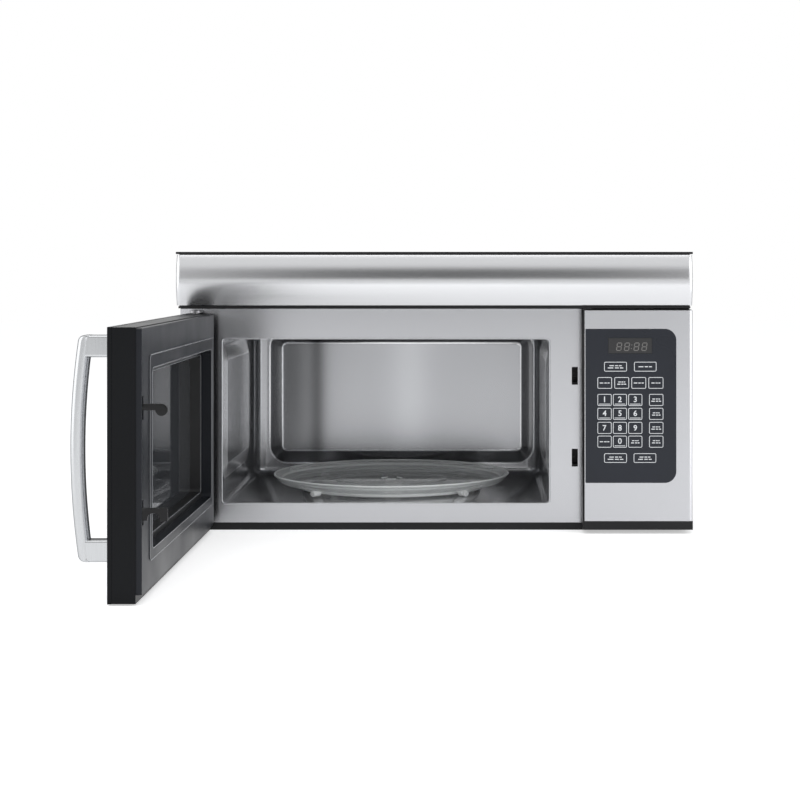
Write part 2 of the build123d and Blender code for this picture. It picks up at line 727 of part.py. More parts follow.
with BuildPart() as control_board:
    board_back = board_front + board_thickness
    block(board_left, board_right, board_front, board_back, board_bottom, board_top)
    for relay in range(4):
        relay_z = board_bottom + 24.0 + relay * 24.0
        block(board_right - 30.0, board_right - 12.0, board_back, board_back + 15.0, relay_z,
              relay_z + 15.0)
    block(board_left + 12.0, board_left + 52.0, board_back, board_back + 24.0, board_bottom + 20.0,
          board_bottom + 56.0)
    for can_z in (board_bottom + 80.0, board_bottom + 100.0, board_bottom + 130.0):
        rod(Plane((board_left + 26.0, board_back, can_z), z_dir=(0, 1, 0)), 6.0, 18.0)
    block(board_left + 40.0, board_left + 74.0, board_back, board_back + 3.0, board_top - 90.0,
          board_top - 60.0)
save(control_board, "control_board")


# ================================================================ door switches behind the face frame
plate_low = base + latch_bar_bottom - 4.0
plate_high = base + latch_bar_top
plate_back = hook_tip_y + switch_gap + plunger_reach + switch_depth + 1.5
switch_front = hook_tip_y + switch_gap + plunger_reach
switch_left = bracket_plate_x - switch_width
plunger_x = bracket_plate_x - switch_width / 2
plunger_end = 4.5           # plunger from the near end of its switch
primary_z = base + upper_hook_height + plunger_end
monitor_z = base + upper_hook_height - plunger_end
secondary_z = base + lower_hook_height
plunger_places = {
    "primary_switch_plunger": primary_z,
    "monitor_switch_plunger": monitor_z,
    "secondary_switch_plunger": secondary_z,
}
switch_spans = [(primary_z - plunger_end + 0.1, primary_z - plunger_end + switch_length),
                (monitor_z + plunger_end - switch_length, monitor_z + plunger_end - 0.1),
                (secondary_z - switch_length / 2, secondary_z + switch_length / 2)]

with BuildPart() as interlock_bracket:
    block(bracket_plate_x, bracket_plate_x + bracket_wall, frame_back, plate_back, plate_low, plate_high)
    block(hook_x - 11.0, bracket_plate_x + bracket_wall, frame_back, frame_back + bracket_wall, plate_low,
          plate_high)
    latch_slots(frame_back, frame_back + bracket_wall, 0.5)
    for hook_low in (base + upper_hook_height - upper_hook_bulb,
                     base + lower_hook_height - lower_hook_half):
        block(hook_x - slot_width / 2, bracket_plate_x, frame_back + bracket_wall,
              frame_back + bracket_wall + 9.0, hook_low - 12.0, hook_low - switch_gap)
save(interlock_bracket, "interlock_bracket")

with BuildPart() as door_switches:
    for span_low, span_high in switch_spans:
        block(switch_left, bracket_plate_x, switch_front, switch_front + switch_depth, span_low, span_high)
    for plunger_z in plunger_places.values():
        rod(Plane((plunger_x, switch_front, plunger_z), z_dir=(0, 1, 0)), plunger_radius + running_gap,
            10.0, mode=Mode.SUBTRACT)
save(door_switches, "door_switches")

for plunger_name, plunger_z in plunger_places.items():
    with BuildPart() as plunger:
        rod(Plane((plunger_x, hook_tip_y + switch_gap, plunger_z), z_dir=(0, 1, 0)), plunger_radius,
            plunger_reach + 10.0 - plunger_travel - 1.0)
        fillet(plunger.edges().sort_by(Axis.Y)[0], 0.5)
    save(plunger, plunger_name)


# ================================================================ door
def door_outline(inset):
    """The door's section, seen from above: round outer corner and a back edge round the hinge."""
    reach = door_hinge_round - inset
    edge = door_width - inset
    behind = frame_thickness - hinge_depth
    arc_end = hinge_inset - math.sqrt(reach ** 2 - behind ** 2)
    arc_angle = math.radians(180 - math.degrees(math.asin(behind / reach)) / 2)
    arc_middle = (hinge_inset + reach * math.cos(arc_angle), hinge_depth + reach * math.sin(arc_angle))
    corner_angle = math.radians(225)
    corner = door_outer_corner - inset
    corner_middle = (door_outer_corner + corner * math.cos(corner_angle),
                     door_outer_corner + corner * math.sin(corner_angle))
    with BuildLine() as section:
        Line((door_outer_corner, inset), (edge, inset))
        Line((edge, inset), (edge, frame_thickness))
        Line((edge, frame_thickness), (arc_end, frame_thickness))
        ThreePointArc((arc_end, frame_thickness), arc_middle, (inset, hinge_depth))
        Line((inset, hinge_depth), (inset, door_outer_corner))
        ThreePointArc((inset, door_outer_corner), corner_middle, (door_outer_corner, inset))
    make_face(section.edges())


def door_solid(inset, depth_from, depth_to):
    """A slice of the door's outer shape between two depths, set in by the inset."""
    with BuildPart(mode=Mode.PRIVATE) as space:
        with BuildSketch(door_section(door_bottom + inset)) as outline:
            door_outline(inset)
        extrude(outline.sketch, amount=door_top - door_bottom - 2 * inset)
        door_block(-1.0, door_width + 1.0, depth_from, depth_to, door_bottom - 1.0, door_top + 1.0,
                   mode=Mode.INTERSECT)
    return space.part


outer_left = window_left + outer_window_margin
outer_right = window_right - outer_window_margin
outer_bottom = window_bottom + outer_window_margin
outer_top = window_top - outer_window_margin
pane_margin = 12.0
inner_pane_back = door_thickness - window_depth
screen_back = inner_pane_back - pane_thickness - screen_thickness
arm_pocket_low = hinge_arm_bottom - seat_gap
arm_pocket_high = hinge_arm_bottom + hinge_arm_thickness + seat_gap
arm_pocket_reach = hinge_inset + arm_half + 3.0
handle_screw_heights = (handle_bottom + handle_post_height / 2, handle_top - handle_post_height / 2)
latch_depth = frame_thickness - latch_bar_thickness - 1.5
pocket_left = hook_place - 8.0
pocket_right = hook_place + 4.5
spring_length = 20.0
pocket_bottom = latch_bar_bottom - 2.0
pocket_top = latch_bar_top + spring_length

with BuildPart() as door_skin:
    add(door_solid(0.0, 0.0, skin_wrap))
    add(door_solid(skin_thickness, skin_thickness, skin_wrap + 1.0), mode=Mode.SUBTRACT)
    door_slab(0.0, skin_thickness, outer_left, outer_right, outer_bottom, outer_top, 8.0,
              mode=Mode.SUBTRACT)
    door_block(-1.0, door_outer_corner + 3.0, -1.0, skin_wrap + 1.0, arm_pocket_low, arm_pocket_high,
               mode=Mode.SUBTRACT)
    for screw_height in handle_screw_heights:
        with BuildSketch(door_face(skin_thickness)):
            with Locations((handle_place, screw_height)):
                Circle(handle_screw_radius + 0.2)
        extrude(amount=skin_thickness, mode=Mode.SUBTRACT)
save(door_skin, "door_skin")

with BuildPart() as door_frame:
    add(door_solid(frame_inset, skin_wrap + 0.2, frame_thickness))
    add(door_solid(skin_thickness + 0.05, skin_thickness, skin_wrap + 0.2))
    door_slab(screen_back, frame_thickness, door_cavity_left, door_cavity_right, door_cavity_bottom,
              door_cavity_top, 3.0, mode=Mode.SUBTRACT)
    door_slab(skin_thickness, skin_thickness + outer_pane_thickness, outer_left - pane_margin - 0.2,
              outer_right + pane_margin + 0.2, outer_bottom - pane_margin - 0.2,
              outer_top + pane_margin + 0.2, mode=Mode.SUBTRACT)
    door_slab(skin_thickness, screen_back, outer_left - 5.0, outer_right + 5.0, outer_bottom - 5.0,
              outer_top + 5.0, 6.0, mode=Mode.SUBTRACT)
    door_block(-1.0, arm_pocket_reach, 0.0, frame_thickness + 1.0, arm_pocket_low, arm_pocket_high,
               mode=Mode.SUBTRACT)
    bore = hinge_pin_radius + running_gap
    rod(Plane((hinge_x, hinge_y, base + door_top + 1.0)), bore, -hinge_pin_length - 1.0, mode=Mode.SUBTRACT)
    rod(Plane((hinge_x, hinge_y, base + arm_pocket_high)), bore, hinge_pin_length + 1.0, mode=Mode.SUBTRACT)
    door_block(pocket_left, pocket_right, latch_depth - seat_gap, frame_thickness, pocket_bottom,
               latch_bar_top, mode=Mode.SUBTRACT)
    door_block(pocket_left, pocket_right, latch_depth - 2.0, frame_thickness, latch_bar_top, pocket_top,
               mode=Mode.SUBTRACT)
    for screw_height in handle_screw_heights:
        seat = Plane((door_x(0), door_y(handle_place), base + screw_height), z_dir=(1, 0, 0))
        rod(seat, handle_screw_radius + 0.2, frame_thickness, mode=Mode.SUBTRACT)
        rod(seat.offset(handle_screw_depth), handle_screw_head + 0.4, frame_thickness, mode=Mode.SUBTRACT)
save(door_frame, "door_frame")

with BuildPart() as outer_window:
    door_slab(skin_thickness, skin_thickness + outer_pane_thickness, outer_left - pane_margin,
              outer_right + pane_margin, outer_bottom - pane_margin, outer_top + pane_margin, 2.0)
save(outer_window, "outer_window")

step_left = window_left + step_width
step_right = window_right - step_width
step_bottom = window_bottom + step_width
step_top = window_top - step_width
step_corner = window_corner - 2.0
plate_depth = door_thickness - window_step
plate_sheet = 1.2
pane_lap = 5.0

with BuildPart() as window_screen:
    door_slab(screen_back, screen_back + screen_thickness, step_left - pane_lap, step_right + pane_lap,
              step_bottom - pane_lap, step_top + pane_lap, 2.0)
save(window_screen, "window_screen")

with BuildPart() as inner_window:
    door_slab(screen_back + screen_thickness, inner_pane_back, step_left - pane_lap, step_right + pane_lap,
              step_bottom - pane_lap, step_top + pane_lap, 2.0)
save(inner_window, "inner_window")

with BuildPart() as door_plate:
    door_slab(plate_depth - plate_sheet, plate_depth, door_cavity_left + seat_gap,
              door_cavity_right - seat_gap, door_cavity_bottom + seat_gap, door_cavity_top - seat_gap, 2.5)
    door_slab(inner_pane_back, plate_depth, step_left - plate_sheet, step_right + plate_sheet,
              step_bottom - plate_sheet, step_top + plate_sheet, step_corner + plate_sheet)
    door_slab(inner_pane_back, plate_depth, step_left, step_right, step_bottom, step_top, step_corner,
              mode=Mode.SUBTRACT)
save(door_plate, "door_plate")

with BuildPart() as choke_cover:
    cover_face = door_thickness - 1.0
    collar = 2.0
    door_slab(frame_thickness, cover_face, choke_left, choke_right, choke_bottom, choke_top, 3.0)
    fillet(choke_cover.faces().sort_by(Axis.X)[-1].edges(), 1.0)
    door_slab(frame_thickness, cover_face - choke_wall, choke_left + choke_wall, choke_right - choke_wall,
              choke_bottom + choke_wall, choke_top - choke_wall, 1.0, mode=Mode.SUBTRACT)
    with BuildSketch(door_face(door_thickness)) as raised:
        panel(window_left - raised_margin, window_right + raised_margin + 3.0,
              window_bottom - raised_margin, window_top + raised_margin + 4.0, 9.0)
    extrude(raised.sketch, amount=1.0, taper=-35.0)
    door_slab(plate_depth, cover_face, window_left - collar, window_right + collar, window_bottom - collar,
              window_top + collar, window_corner + collar)
    door_slab(plate_depth, door_thickness, window_left, window_right, window_bottom, window_top,
              window_corner, mode=Mode.SUBTRACT)
    guide_depth = latch_depth + latch_bar_thickness + seat_gap
    hook_spacing = upper_hook_height - lower_hook_height
    for guide_height in (lower_hook_height + 0.33 * hook_spacing, lower_hook_height + 0.58 * hook_spacing):
        door_block(hook_place - 5.0, hook_place + 3.0, guide_depth, cover_face - 1.0, guide_height,
                   guide_height + 10.0)
    for hook_height, half in ((upper_hook_height, upper_hook_bulb), (lower_hook_height, lower_hook_half)):
        door_block(hook_place - 4.0, hook_place + 4.0, frame_thickness, door_thickness,
                   hook_height - half - 5.0, hook_height + half + latch_lift + 5.0, mode=Mode.SUBTRACT)
    door_block(choke_left - 1.0, arm_pocket_reach, frame_thickness, door_thickness + 1.0,
               choke_bottom - 1.0, arm_pocket_high, mode=Mode.SUBTRACT)
save(choke_cover, "choke_cover")

with BuildPart() as latch_bar:
    door_block(hook_place - 5.0, hook_place + 3.0, latch_depth, latch_depth + latch_bar_thickness,
               latch_bar_bottom, latch_bar_top)
    hook_end = door_thickness + hook_reach
    bulb_depth = hook_end - upper_hook_bulb
    with BuildSketch(Plane(origin=(door_x(0), door_y(hook_place - hook_thickness / 2), base), x_dir=(1, 0,
                     0), z_dir=(0, -1, 0))):
        panel(latch_depth, bulb_depth, upper_hook_height - 0.6, upper_hook_height + upper_hook_bulb)
        with Locations((bulb_depth, upper_hook_height)):
            Circle(upper_hook_bulb)
        panel(latch_depth, hook_end - 11.0, lower_hook_height, lower_hook_height + lower_hook_half)
        panel(hook_end - 11.0, hook_end, lower_hook_height - lower_hook_half,
              lower_hook_height + lower_hook_half, 2.0)
        panel(latch_depth, door_thickness + 6.0, lower_hook_height - lower_hook_half + 1.0,
              lower_hook_height + 1.0)
        with Locations((door_thickness + 11.5, lower_hook_height - lower_hook_half + 2.0)):
            Circle(7.5, mode=Mode.SUBTRACT)
    extrude(amount=hook_thickness)
save(latch_bar, "latch_bar")

with BuildPart() as latch_spring:
    spring_plane = Plane((door_x(latch_depth + latch_bar_thickness / 2), door_y(hook_place - 1.0),
                          base + latch_bar_top))
    rod(spring_plane, 2.6, spring_length)
    rod(spring_plane, 1.8, spring_length, mode=Mode.SUBTRACT)
save(latch_spring, "latch_spring")


# ================================================================ door handle
handle_middle = (handle_bottom + handle_top) / 2
bar_back_middle = handle_reach_middle - handle_bar_thickness
bar_back_end = handle_reach_end - handle_bar_thickness
handle_side = Plane(origin=(door_x(0), door_y(handle_place - handle_bar_width / 2), base), x_dir=(1, 0, 0),
                    z_dir=(0, -1, 0))

with BuildPart() as door_handle:
    with BuildSketch(handle_side):
        with BuildLine():
            ThreePointArc((-handle_reach_end, handle_bottom), (-handle_reach_middle, handle_middle),
                          (-handle_reach_end, handle_top))
            Line((-handle_reach_end, handle_top), (-bar_back_end, handle_top))
            ThreePointArc((-bar_back_end, handle_top), (-bar_back_middle, handle_middle),
                          (-bar_back_end, handle_bottom))
            Line((-bar_back_end, handle_bottom), (-handle_reach_end, handle_bottom))
        make_face()
    extrude(amount=handle_bar_width)
    fillet(door_handle.edges().filter_by(GeomType.CIRCLE), 5.0)
    for post_low in (handle_bottom, handle_top - handle_post_height):
        door_block(handle_place - handle_bar_width / 2, handle_place + handle_bar_width / 2,
                   -bar_back_end - 6.0, 0.0, post_low, post_low + handle_post_height)
    for screw_height in handle_screw_heights:
        rod(Plane((door_x(0), door_y(handle_place), base + screw_height), z_dir=(-1, 0, 0)),
            handle_screw_radius, 14.5, mode=Mode.SUBTRACT)
save(door_handle, "door_handle")

with BuildPart() as handle_screws:
    for screw_height in handle_screw_heights:
        seat = Plane((door_x(handle_screw_depth), door_y(handle_place), base + screw_height), z_dir=(-1, 0,
                     0))
        rod(seat, handle_screw_radius, handle_screw_depth + 14.0)
        rod(seat.offset(-4.0), handle_screw_head, 4.0)
save(handle_screws, "handle_screws")


# ================================================================ turntable
roller_bottom = cavity_floor + seat_gap
tray_bottom = roller_bottom + 2 * roller_radius + seat_gap

with BuildPart() as glass_tray:
    with BuildSketch(Plane.XZ.offset(-tray_y)):
        with BuildLine():
            foot = tray_radius - tray_rim_flare
            Polyline((tray_x, tray_bottom), (tray_x + foot, tray_bottom),
                     (tray_x + tray_radius, tray_bottom + tray_rim_height - 4.0),
                     (tray_x + tray_radius, tray_bottom + tray_rim_height),
                     (tray_x + tray_radius - 4.0, tray_bottom + tray_rim_height),
                     (tray_x + foot - 1.0, tray_bottom + tray_thickness),
                     (tray_x, tray_bottom + tray_thickness), close=True)
        make_face()
    revolve(axis=Axis((tray_x, tray_y, 0), (0, 0, 1)))
    with BuildSketch(Plane((tray_x, tray_y, tray_bottom + tray_thickness))) as hub_marks:
        with PolarLocations(14.0, 3):
            SlotOverall(16.0, 5.0, rotation=90)
    extrude(hub_marks.sketch, amount=1.2)
    rim = glass_tray.edges().filter_by(GeomType.CIRCLE).group_by(Axis.Z)[-1]
    fillet(rim, 1.5)
save(glass_tray, "glass_tray")

with BuildPart() as turntable_coupler:
    shaft_bottom = motor_top - 12.0
    rod(Plane((tray_x, tray_y, shaft_bottom)), coupler_shaft_radius, cavity_floor + 1.0 - shaft_bottom)
    with BuildSketch(Plane((tray_x, tray_y, cavity_floor + 1.0))):
        Circle(coupler_hub_radius - 8.0)
        with PolarLocations(coupler_hub_radius / 2, 3):
            SlotOverall(coupler_hub_radius, 9.0)
    extrude(amount=tray_bottom - cavity_floor - 1.0)
save(turntable_coupler, "turntable_coupler")

with BuildPart() as turntable_motor:
    rod(Plane((tray_x, tray_y, motor_top - 1.2 - drive_motor_height)), drive_motor_radius,
        drive_motor_height)
    with BuildSketch(Plane((tray_x, tray_y, motor_top - 1.2))):
        SlotOverall(2 * drive_motor_radius + 26.0, 14.0)
        Circle(drive_motor_radius)
        with GridLocations(2 * drive_motor_radius + 14.0, 1.0, 2, 1):
            Circle(2.2, mode=Mode.SUBTRACT)
    extrude(amount=1.2)
    rod(Plane((tray_x, tray_y, shaft_bottom - 1.0)), coupler_shaft_radius + running_gap, 20.0,
        mode=Mode.SUBTRACT)
    block(tray_x - 12.0, tray_x + 12.0, tray_y + drive_motor_radius - 2.0,
          tray_y + drive_motor_radius + 10.0, motor_top - 14.0, motor_top - 4.0)
save(turntable_motor, "turntable_motor")

roller_middle = roller_bottom + roller_radius
front_angle = -90.0
roller_angles = [front_angle + roller_first_angle + n * 360.0 / roller_count for n in range(roller_count)]
axle_end = roller_track + roller_length / 2 + 1.2

with BuildPart() as roller_ring:
    with BuildSketch(Plane((tray_x, tray_y, roller_middle - ring_thickness / 2))):
        Circle(ring_outer)
        Circle(ring_inner, mode=Mode.SUBTRACT)
    extrude(amount=ring_thickness)
    fillet(roller_ring.edges(), 1.0)
    for angle in roller_angles:
        way = Vector(1, 0, 0).rotate(Axis.Z, angle)
        middle = Vector(tray_x, tray_y, roller_middle)
        rod(Plane(origin=middle + way * (ring_outer - 2.0), z_dir=way), roller_axle_radius,
            axle_end - ring_outer + 2.0)
        rod(Plane(origin=middle + way * axle_end, z_dir=way), roller_axle_radius + 1.0, 1.0)
save(roller_ring, "roller_ring")

for number, angle in enumerate(roller_angles, start=1):
    with BuildPart() as roller:
        way = Vector(1, 0, 0).rotate(Axis.Z, angle)
        start = Vector(tray_x, tray_y, roller_middle) + way * (roller_track - roller_length / 2)
        rod(Plane(origin=start, z_dir=way), roller_radius, roller_length)
        fillet(roller.edges().filter_by(GeomType.CIRCLE), 0.8)
        rod(Plane(origin=start, z_dir=way), roller_axle_radius + running_gap, roller_length,
            mode=Mode.SUBTRACT)
    save(roller, f"roller_{number}")


# ================================================================ microwave drive
duct_top = duct_z + case_sheet

with BuildPart() as waveguide:
    guide_x = (waveguide_left + waveguide_right) / 2
    guide_length = waveguide_right - waveguide_left
    guide_top = guide_bottom + waveguide_height
    slab(guide_x, waveguide_y, guide_length, waveguide_depth, guide_bottom, guide_top)
    slab(guide_x, waveguide_y, guide_length - 2 * waveguide_sheet, waveguide_depth - 2 * waveguide_sheet,
         guide_bottom + waveguide_sheet, guide_top - waveguide_sheet, Mode.SUBTRACT)
    slab(feed_x, waveguide_y, feed_width, feed_depth, guide_bottom, guide_bottom + waveguide_sheet,
         Mode.SUBTRACT)
    rod(Plane((magnetron_x, waveguide_y, guide_bottom)), 9.0, waveguide_sheet, mode=Mode.SUBTRACT)
save(waveguide, "waveguide")

with BuildPart() as magnetron:
    tube_bottom = guide_bottom - magnetron_height
    slab(magnetron_x, waveguide_y, magnetron_width + 10.0, magnetron_depth, guide_bottom - 2.0,
         guide_bottom)
    for side in (-1, 1):
        yoke_x = magnetron_x + side * (magnetron_width / 2 - 1.0)
        slab(yoke_x, waveguide_y, 2.0, magnetron_depth, tube_bottom, guide_bottom)
    slab(magnetron_x, waveguide_y, magnetron_width, magnetron_depth, tube_bottom, tube_bottom + 2.0)
    rod(Plane((magnetron_x, waveguide_y, tube_bottom)), 19.0, magnetron_height)
    for fin in range(6):
        fin_z = tube_bottom + 12.0 + fin * 6.4
        slab(magnetron_x, waveguide_y, magnetron_width, magnetron_depth - 6.0, fin_z, fin_z + 0.8)
    rod(Plane((magnetron_x, waveguide_y, guide_bottom)), 7.5, 22.0)
    slab(magnetron_x, waveguide_y, 56.0, 40.0, tube_bottom - 28.0, tube_bottom)
save(magnetron, "magnetron")

with BuildPart() as high_voltage_transformer:
    slab(transformer_x, transformer_y, transformer_width, transformer_depth, duct_top,
         duct_top + transformer_height)
    fillet(high_voltage_transformer.edges().filter_by(Axis.Y), 2.0)
    for coil_low, coil_high in ((12.0, 38.0), (44.0, 72.0)):
        with BuildSketch(Plane((transformer_x, transformer_y, duct_top + coil_low))) as coil:
            RectangleRounded(transformer_width - 30.0, transformer_depth + 34.0, 14.0)
        extrude(coil.sketch, amount=coil_high - coil_low)
    slab(transformer_x, transformer_y, transformer_width + 16.0, transformer_depth, duct_top,
         duct_top + 2.0)
save(high_voltage_transformer, "high_voltage_transformer")

with BuildPart() as high_voltage_capacitor:
    with BuildSketch(Plane((capacitor_x, capacitor_y, duct_top))):
        SlotOverall(capacitor_width, capacitor_depth)
    extrude(amount=capacitor_height)
    fillet(high_voltage_capacitor.edges().group_by(Axis.Z)[-1], 2.0)
    for tag_x in (capacitor_x - 16.0, capacitor_x + 16.0):
        slab(tag_x, capacitor_y, 6.4, 0.8, duct_top + capacitor_height, duct_top + capacitor_height + 10.0)
    slab(capacitor_x, capacitor_y, capacitor_width + 24.0, 16.0, duct_top, duct_top + 1.5)
save(high_voltage_capacitor, "high_voltage_capacitor")


# ================================================================ cooling fan
bulkhead_y = fan_y + 18.0
fan_ring = fan_radius + 3.0
fan_z = base + fan_height
bulkhead_left = cavity_right + cavity_sheet + emboss_depth + 8.0

with BuildPart() as cooling_fan_shroud:
    block(bulkhead_left, pan_right, bulkhead_y, bulkhead_y + 1.5, duct_top, fan_z + 72.0)
    rod(Plane((fan_x, bulkhead_y, fan_z), z_dir=(0, -1, 0)), fan_ring + 1.5, 28.0)
    rod(Plane((fan_x, bulkhead_y + 1.5, fan_z), z_dir=(0, -1, 0)), fan_ring, 29.5, mode=Mode.SUBTRACT)
    for bar_z in (fan_z - 20.0, fan_z + 12.0):
        slab(fan_x, bulkhead_y + 3.0, 2 * fan_ring + 12.0, 3.0, bar_z, bar_z + 8.0)
save(cooling_fan_shroud, "cooling_fan_shroud")

with BuildPart() as cooling_fan_motor:
    motor_front = bulkhead_y + 4.5
    block(fan_x - fan_motor_size / 2, fan_x + fan_motor_size / 2, motor_front, motor_front + 28.0,
          fan_z - fan_motor_size / 2, fan_z + fan_motor_size / 2)
    fillet(cooling_fan_motor.edges().filter_by(Axis.Y), 6.0)
    rod(Plane((fan_x, motor_front, fan_z), z_dir=(0, 1, 0)), fan_shaft_radius + running_gap, 24.0,
        mode=Mode.SUBTRACT)
save(cooling_fan_motor, "cooling_fan_motor")

with BuildPart() as cooling_fan_rotor:
    rotor_front = bulkhead_y - 26.0
    rod(Plane((fan_x, rotor_front, fan_z), z_dir=(0, 1, 0)), fan_hub_radius, 20.0)
    rod(Plane((fan_x, rotor_front, fan_z), z_dir=(0, 1, 0)), fan_shaft_radius,
        motor_front + 22.0 - rotor_front)
    for blade in range(fan_blades):
        spoke = Plane(origin=(fan_x, rotor_front + 10.0, fan_z), x_dir=(0, 1, 0),
                      z_dir=Vector(1, 0, 0).rotate(Axis.Y, blade * 360.0 / fan_blades))
        with BuildSketch(spoke.offset(fan_hub_radius - 2.0)) as blade_root:
            Rectangle(16.0, 2.0, rotation=30)
        with BuildSketch(spoke.offset(fan_radius)) as blade_tip:
            Rectangle(17.0, 1.6, rotation=22)
        loft([blade_root.sketch, blade_tip.sketch])
save(cooling_fan_rotor, "cooling_fan_rotor")


# ================================================================ vent blower
blower_z = base + blower_height
scroll_middles = (blower_x - blower_spacing, blower_x + blower_spacing)


def scroll_sketch(inset, reach):
    """The blower's scroll: a circle with a duct that leaves forward along its top."""
    with Locations((blower_y, blower_z)):
        Circle(blower_scroll - inset)
    panel(blower_y - reach, blower_y, blower_z + blower_scroll - blower_outlet_height + inset,
          blower_z + blower_scroll - inset)


with BuildPart() as blower_housing:
    for scroll_x in scroll_middles:
        with BuildSketch(Plane.YZ.offset(scroll_x - blower_half)) as scroll:
            scroll_sketch(0.0, blower_outlet_reach)
        extrude(scroll.sketch, amount=2 * blower_half)
    block(scroll_middles[0] - blower_half, scroll_middles[1] + blower_half, blower_y - 45.0,
          blower_y + 45.0, guide_bottom, guide_bottom + 1.5)
    block(blower_x - 30.0, blower_x + 30.0, blower_y - 30.0, blower_y + 30.0, guide_bottom, blower_z - 24.0)
    rod(Plane((blower_x - 50.0, blower_y, blower_z), z_dir=(1, 0, 0)), blower_motor_radius + seat_gap,
        100.0, mode=Mode.SUBTRACT)
    for scroll_x in scroll_middles:
        with BuildSketch(Plane.YZ.offset(scroll_x - blower_half + blower_wall)) as inside:
            scroll_sketch(blower_wall, blower_outlet_reach + 1.0)
        extrude(inside.sketch, amount=2 * blower_half - 2 * blower_wall, mode=Mode.SUBTRACT)
        rod(Plane((scroll_x - blower_half, blower_y, blower_z), z_dir=(1, 0, 0)), blower_inlet,
            2 * blower_half, mode=Mode.SUBTRACT)
save(blower_housing, "blower_housing")

with BuildPart() as blower_motor:
    rod(Plane((blower_x - blower_motor_length / 2, blower_y, blower_z), z_dir=(1, 0, 0)),
        blower_motor_radius, blower_motor_length)
    fillet(blower_motor.edges(), 6.0)
    rod(Plane((blower_x - blower_motor_length / 2, blower_y, blower_z), z_dir=(1, 0, 0)),
        blower_shaft_radius + running_gap, blower_motor_length, mode=Mode.SUBTRACT)
save(blower_motor, "blower_motor")

with BuildPart() as blower_shaft:
    shaft_half = blower_spacing + blower_wheel_width / 2 - 6.0
    rod(Plane((blower_x - shaft_half, blower_y, blower_z), z_dir=(1, 0, 0)), blower_shaft_radius,
        2 * shaft_half)
save(blower_shaft, "blower_shaft")

with BuildPart() as blower_wheels:
    for scroll_x in scroll_middles:
        hub_plane = Plane((scroll_x, blower_y, blower_z), x_dir=(0, 1, 0), z_dir=(1, 0, 0))
        wheel_start = hub_plane.offset(-blower_wheel_width / 2)
        rod(hub_plane.offset(-1.0), blower_wheel_radius, 2.0)
        rod(hub_plane.offset(-9.0), 12.0, 18.0)
        with BuildSketch(wheel_start) as cage:
            with PolarLocations(blower_wheel_radius - 4.0, blower_blades):
                Rectangle(7.0, 1.2, rotation=35)
        extrude(cage.sketch, amount=blower_wheel_width)
        for ring_plane in (wheel_start, wheel_start.offset(blower_wheel_width - 2.0)):
            with BuildSketch(ring_plane) as end_ring:
                Circle(blower_wheel_radius)
                Circle(blower_wheel_radius - 8.0, mode=Mode.SUBTRACT)
            extrude(end_ring.sketch, amount=2.0)
        rod(hub_plane.offset(-9.0), blower_shaft_radius, 18.0, mode=Mode.SUBTRACT)
save(blower_wheels, "blower_wheels")


# ================================================================ filters and lamps in the underside
pan_top = base + case_sheet
for side, filter_x in (("left", -grease_filter_x), ("right", grease_filter_x)):
    with BuildPart() as grease_filter:
        with BuildSketch(Plane((filter_x, grease_filter_y, pan_top))):
            RectangleRounded(grease_filter_width, grease_filter_depth, 6.0)
        extrude(amount=grease_filter_thickness)
        with BuildSketch(Plane((filter_x, grease_filter_y, pan_top + grease_filter_thickness))):
            RectangleRounded(grease_filter_width - 16.0, grease_filter_depth - 16.0, 4.0)
        extrude(amount=-1.0, mode=Mode.SUBTRACT)
    save(grease_filter, "grease_filter_" + side)

with BuildPart() as lamp_lenses:
    for lens_x in (-lamp_x, lamp_x):
        with BuildSketch(Plane((lens_x, lamp_y, pan_top))) as lens:
            RectangleRounded(lens_width, lens_depth, 4.0)
        extrude(lens.sketch, amount=lens_thickness)
save(lamp_lenses, "lamp_lenses")

lamp_bases = [(-lamp_x + lens_width / 2, lamp_y, lamp_z, -1), (lamp_x - lens_width / 2, lamp_y, lamp_z, 1)]

with BuildPart() as lamp_sockets:
    for base_x, base_y, base_z, way in lamp_bases:
        far_x = base_x - way * socket_length
        block(min(base_x, far_x), max(base_x, far_x), base_y - socket_side / 2, base_y + socket_side / 2,
              pan_top, base_z + socket_side / 2)
    slab(oven_lamp_x, oven_lamp_y + socket_length / 2, socket_side, socket_length,
         oven_lamp_z - socket_side / 2, oven_lamp_z + socket_side / 2)
save(lamp_sockets, "lamp_sockets")

with BuildPart() as lamp_bulbs:
    for base_x, base_y, base_z, way in lamp_bases:
        rod(Plane((base_x, base_y, base_z), z_dir=(way, 0, 0)), bulb_radius, bulb_length)
    rod(Plane((oven_lamp_x, oven_lamp_y, oven_lamp_z), z_dir=(0, -1, 0)), bulb_radius, bulb_length)
    fillet(lamp_bulbs.edges().filter_by(GeomType.CIRCLE), 5.0)
save(lamp_bulbs, "lamp_bulbs")
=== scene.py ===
import json
import math

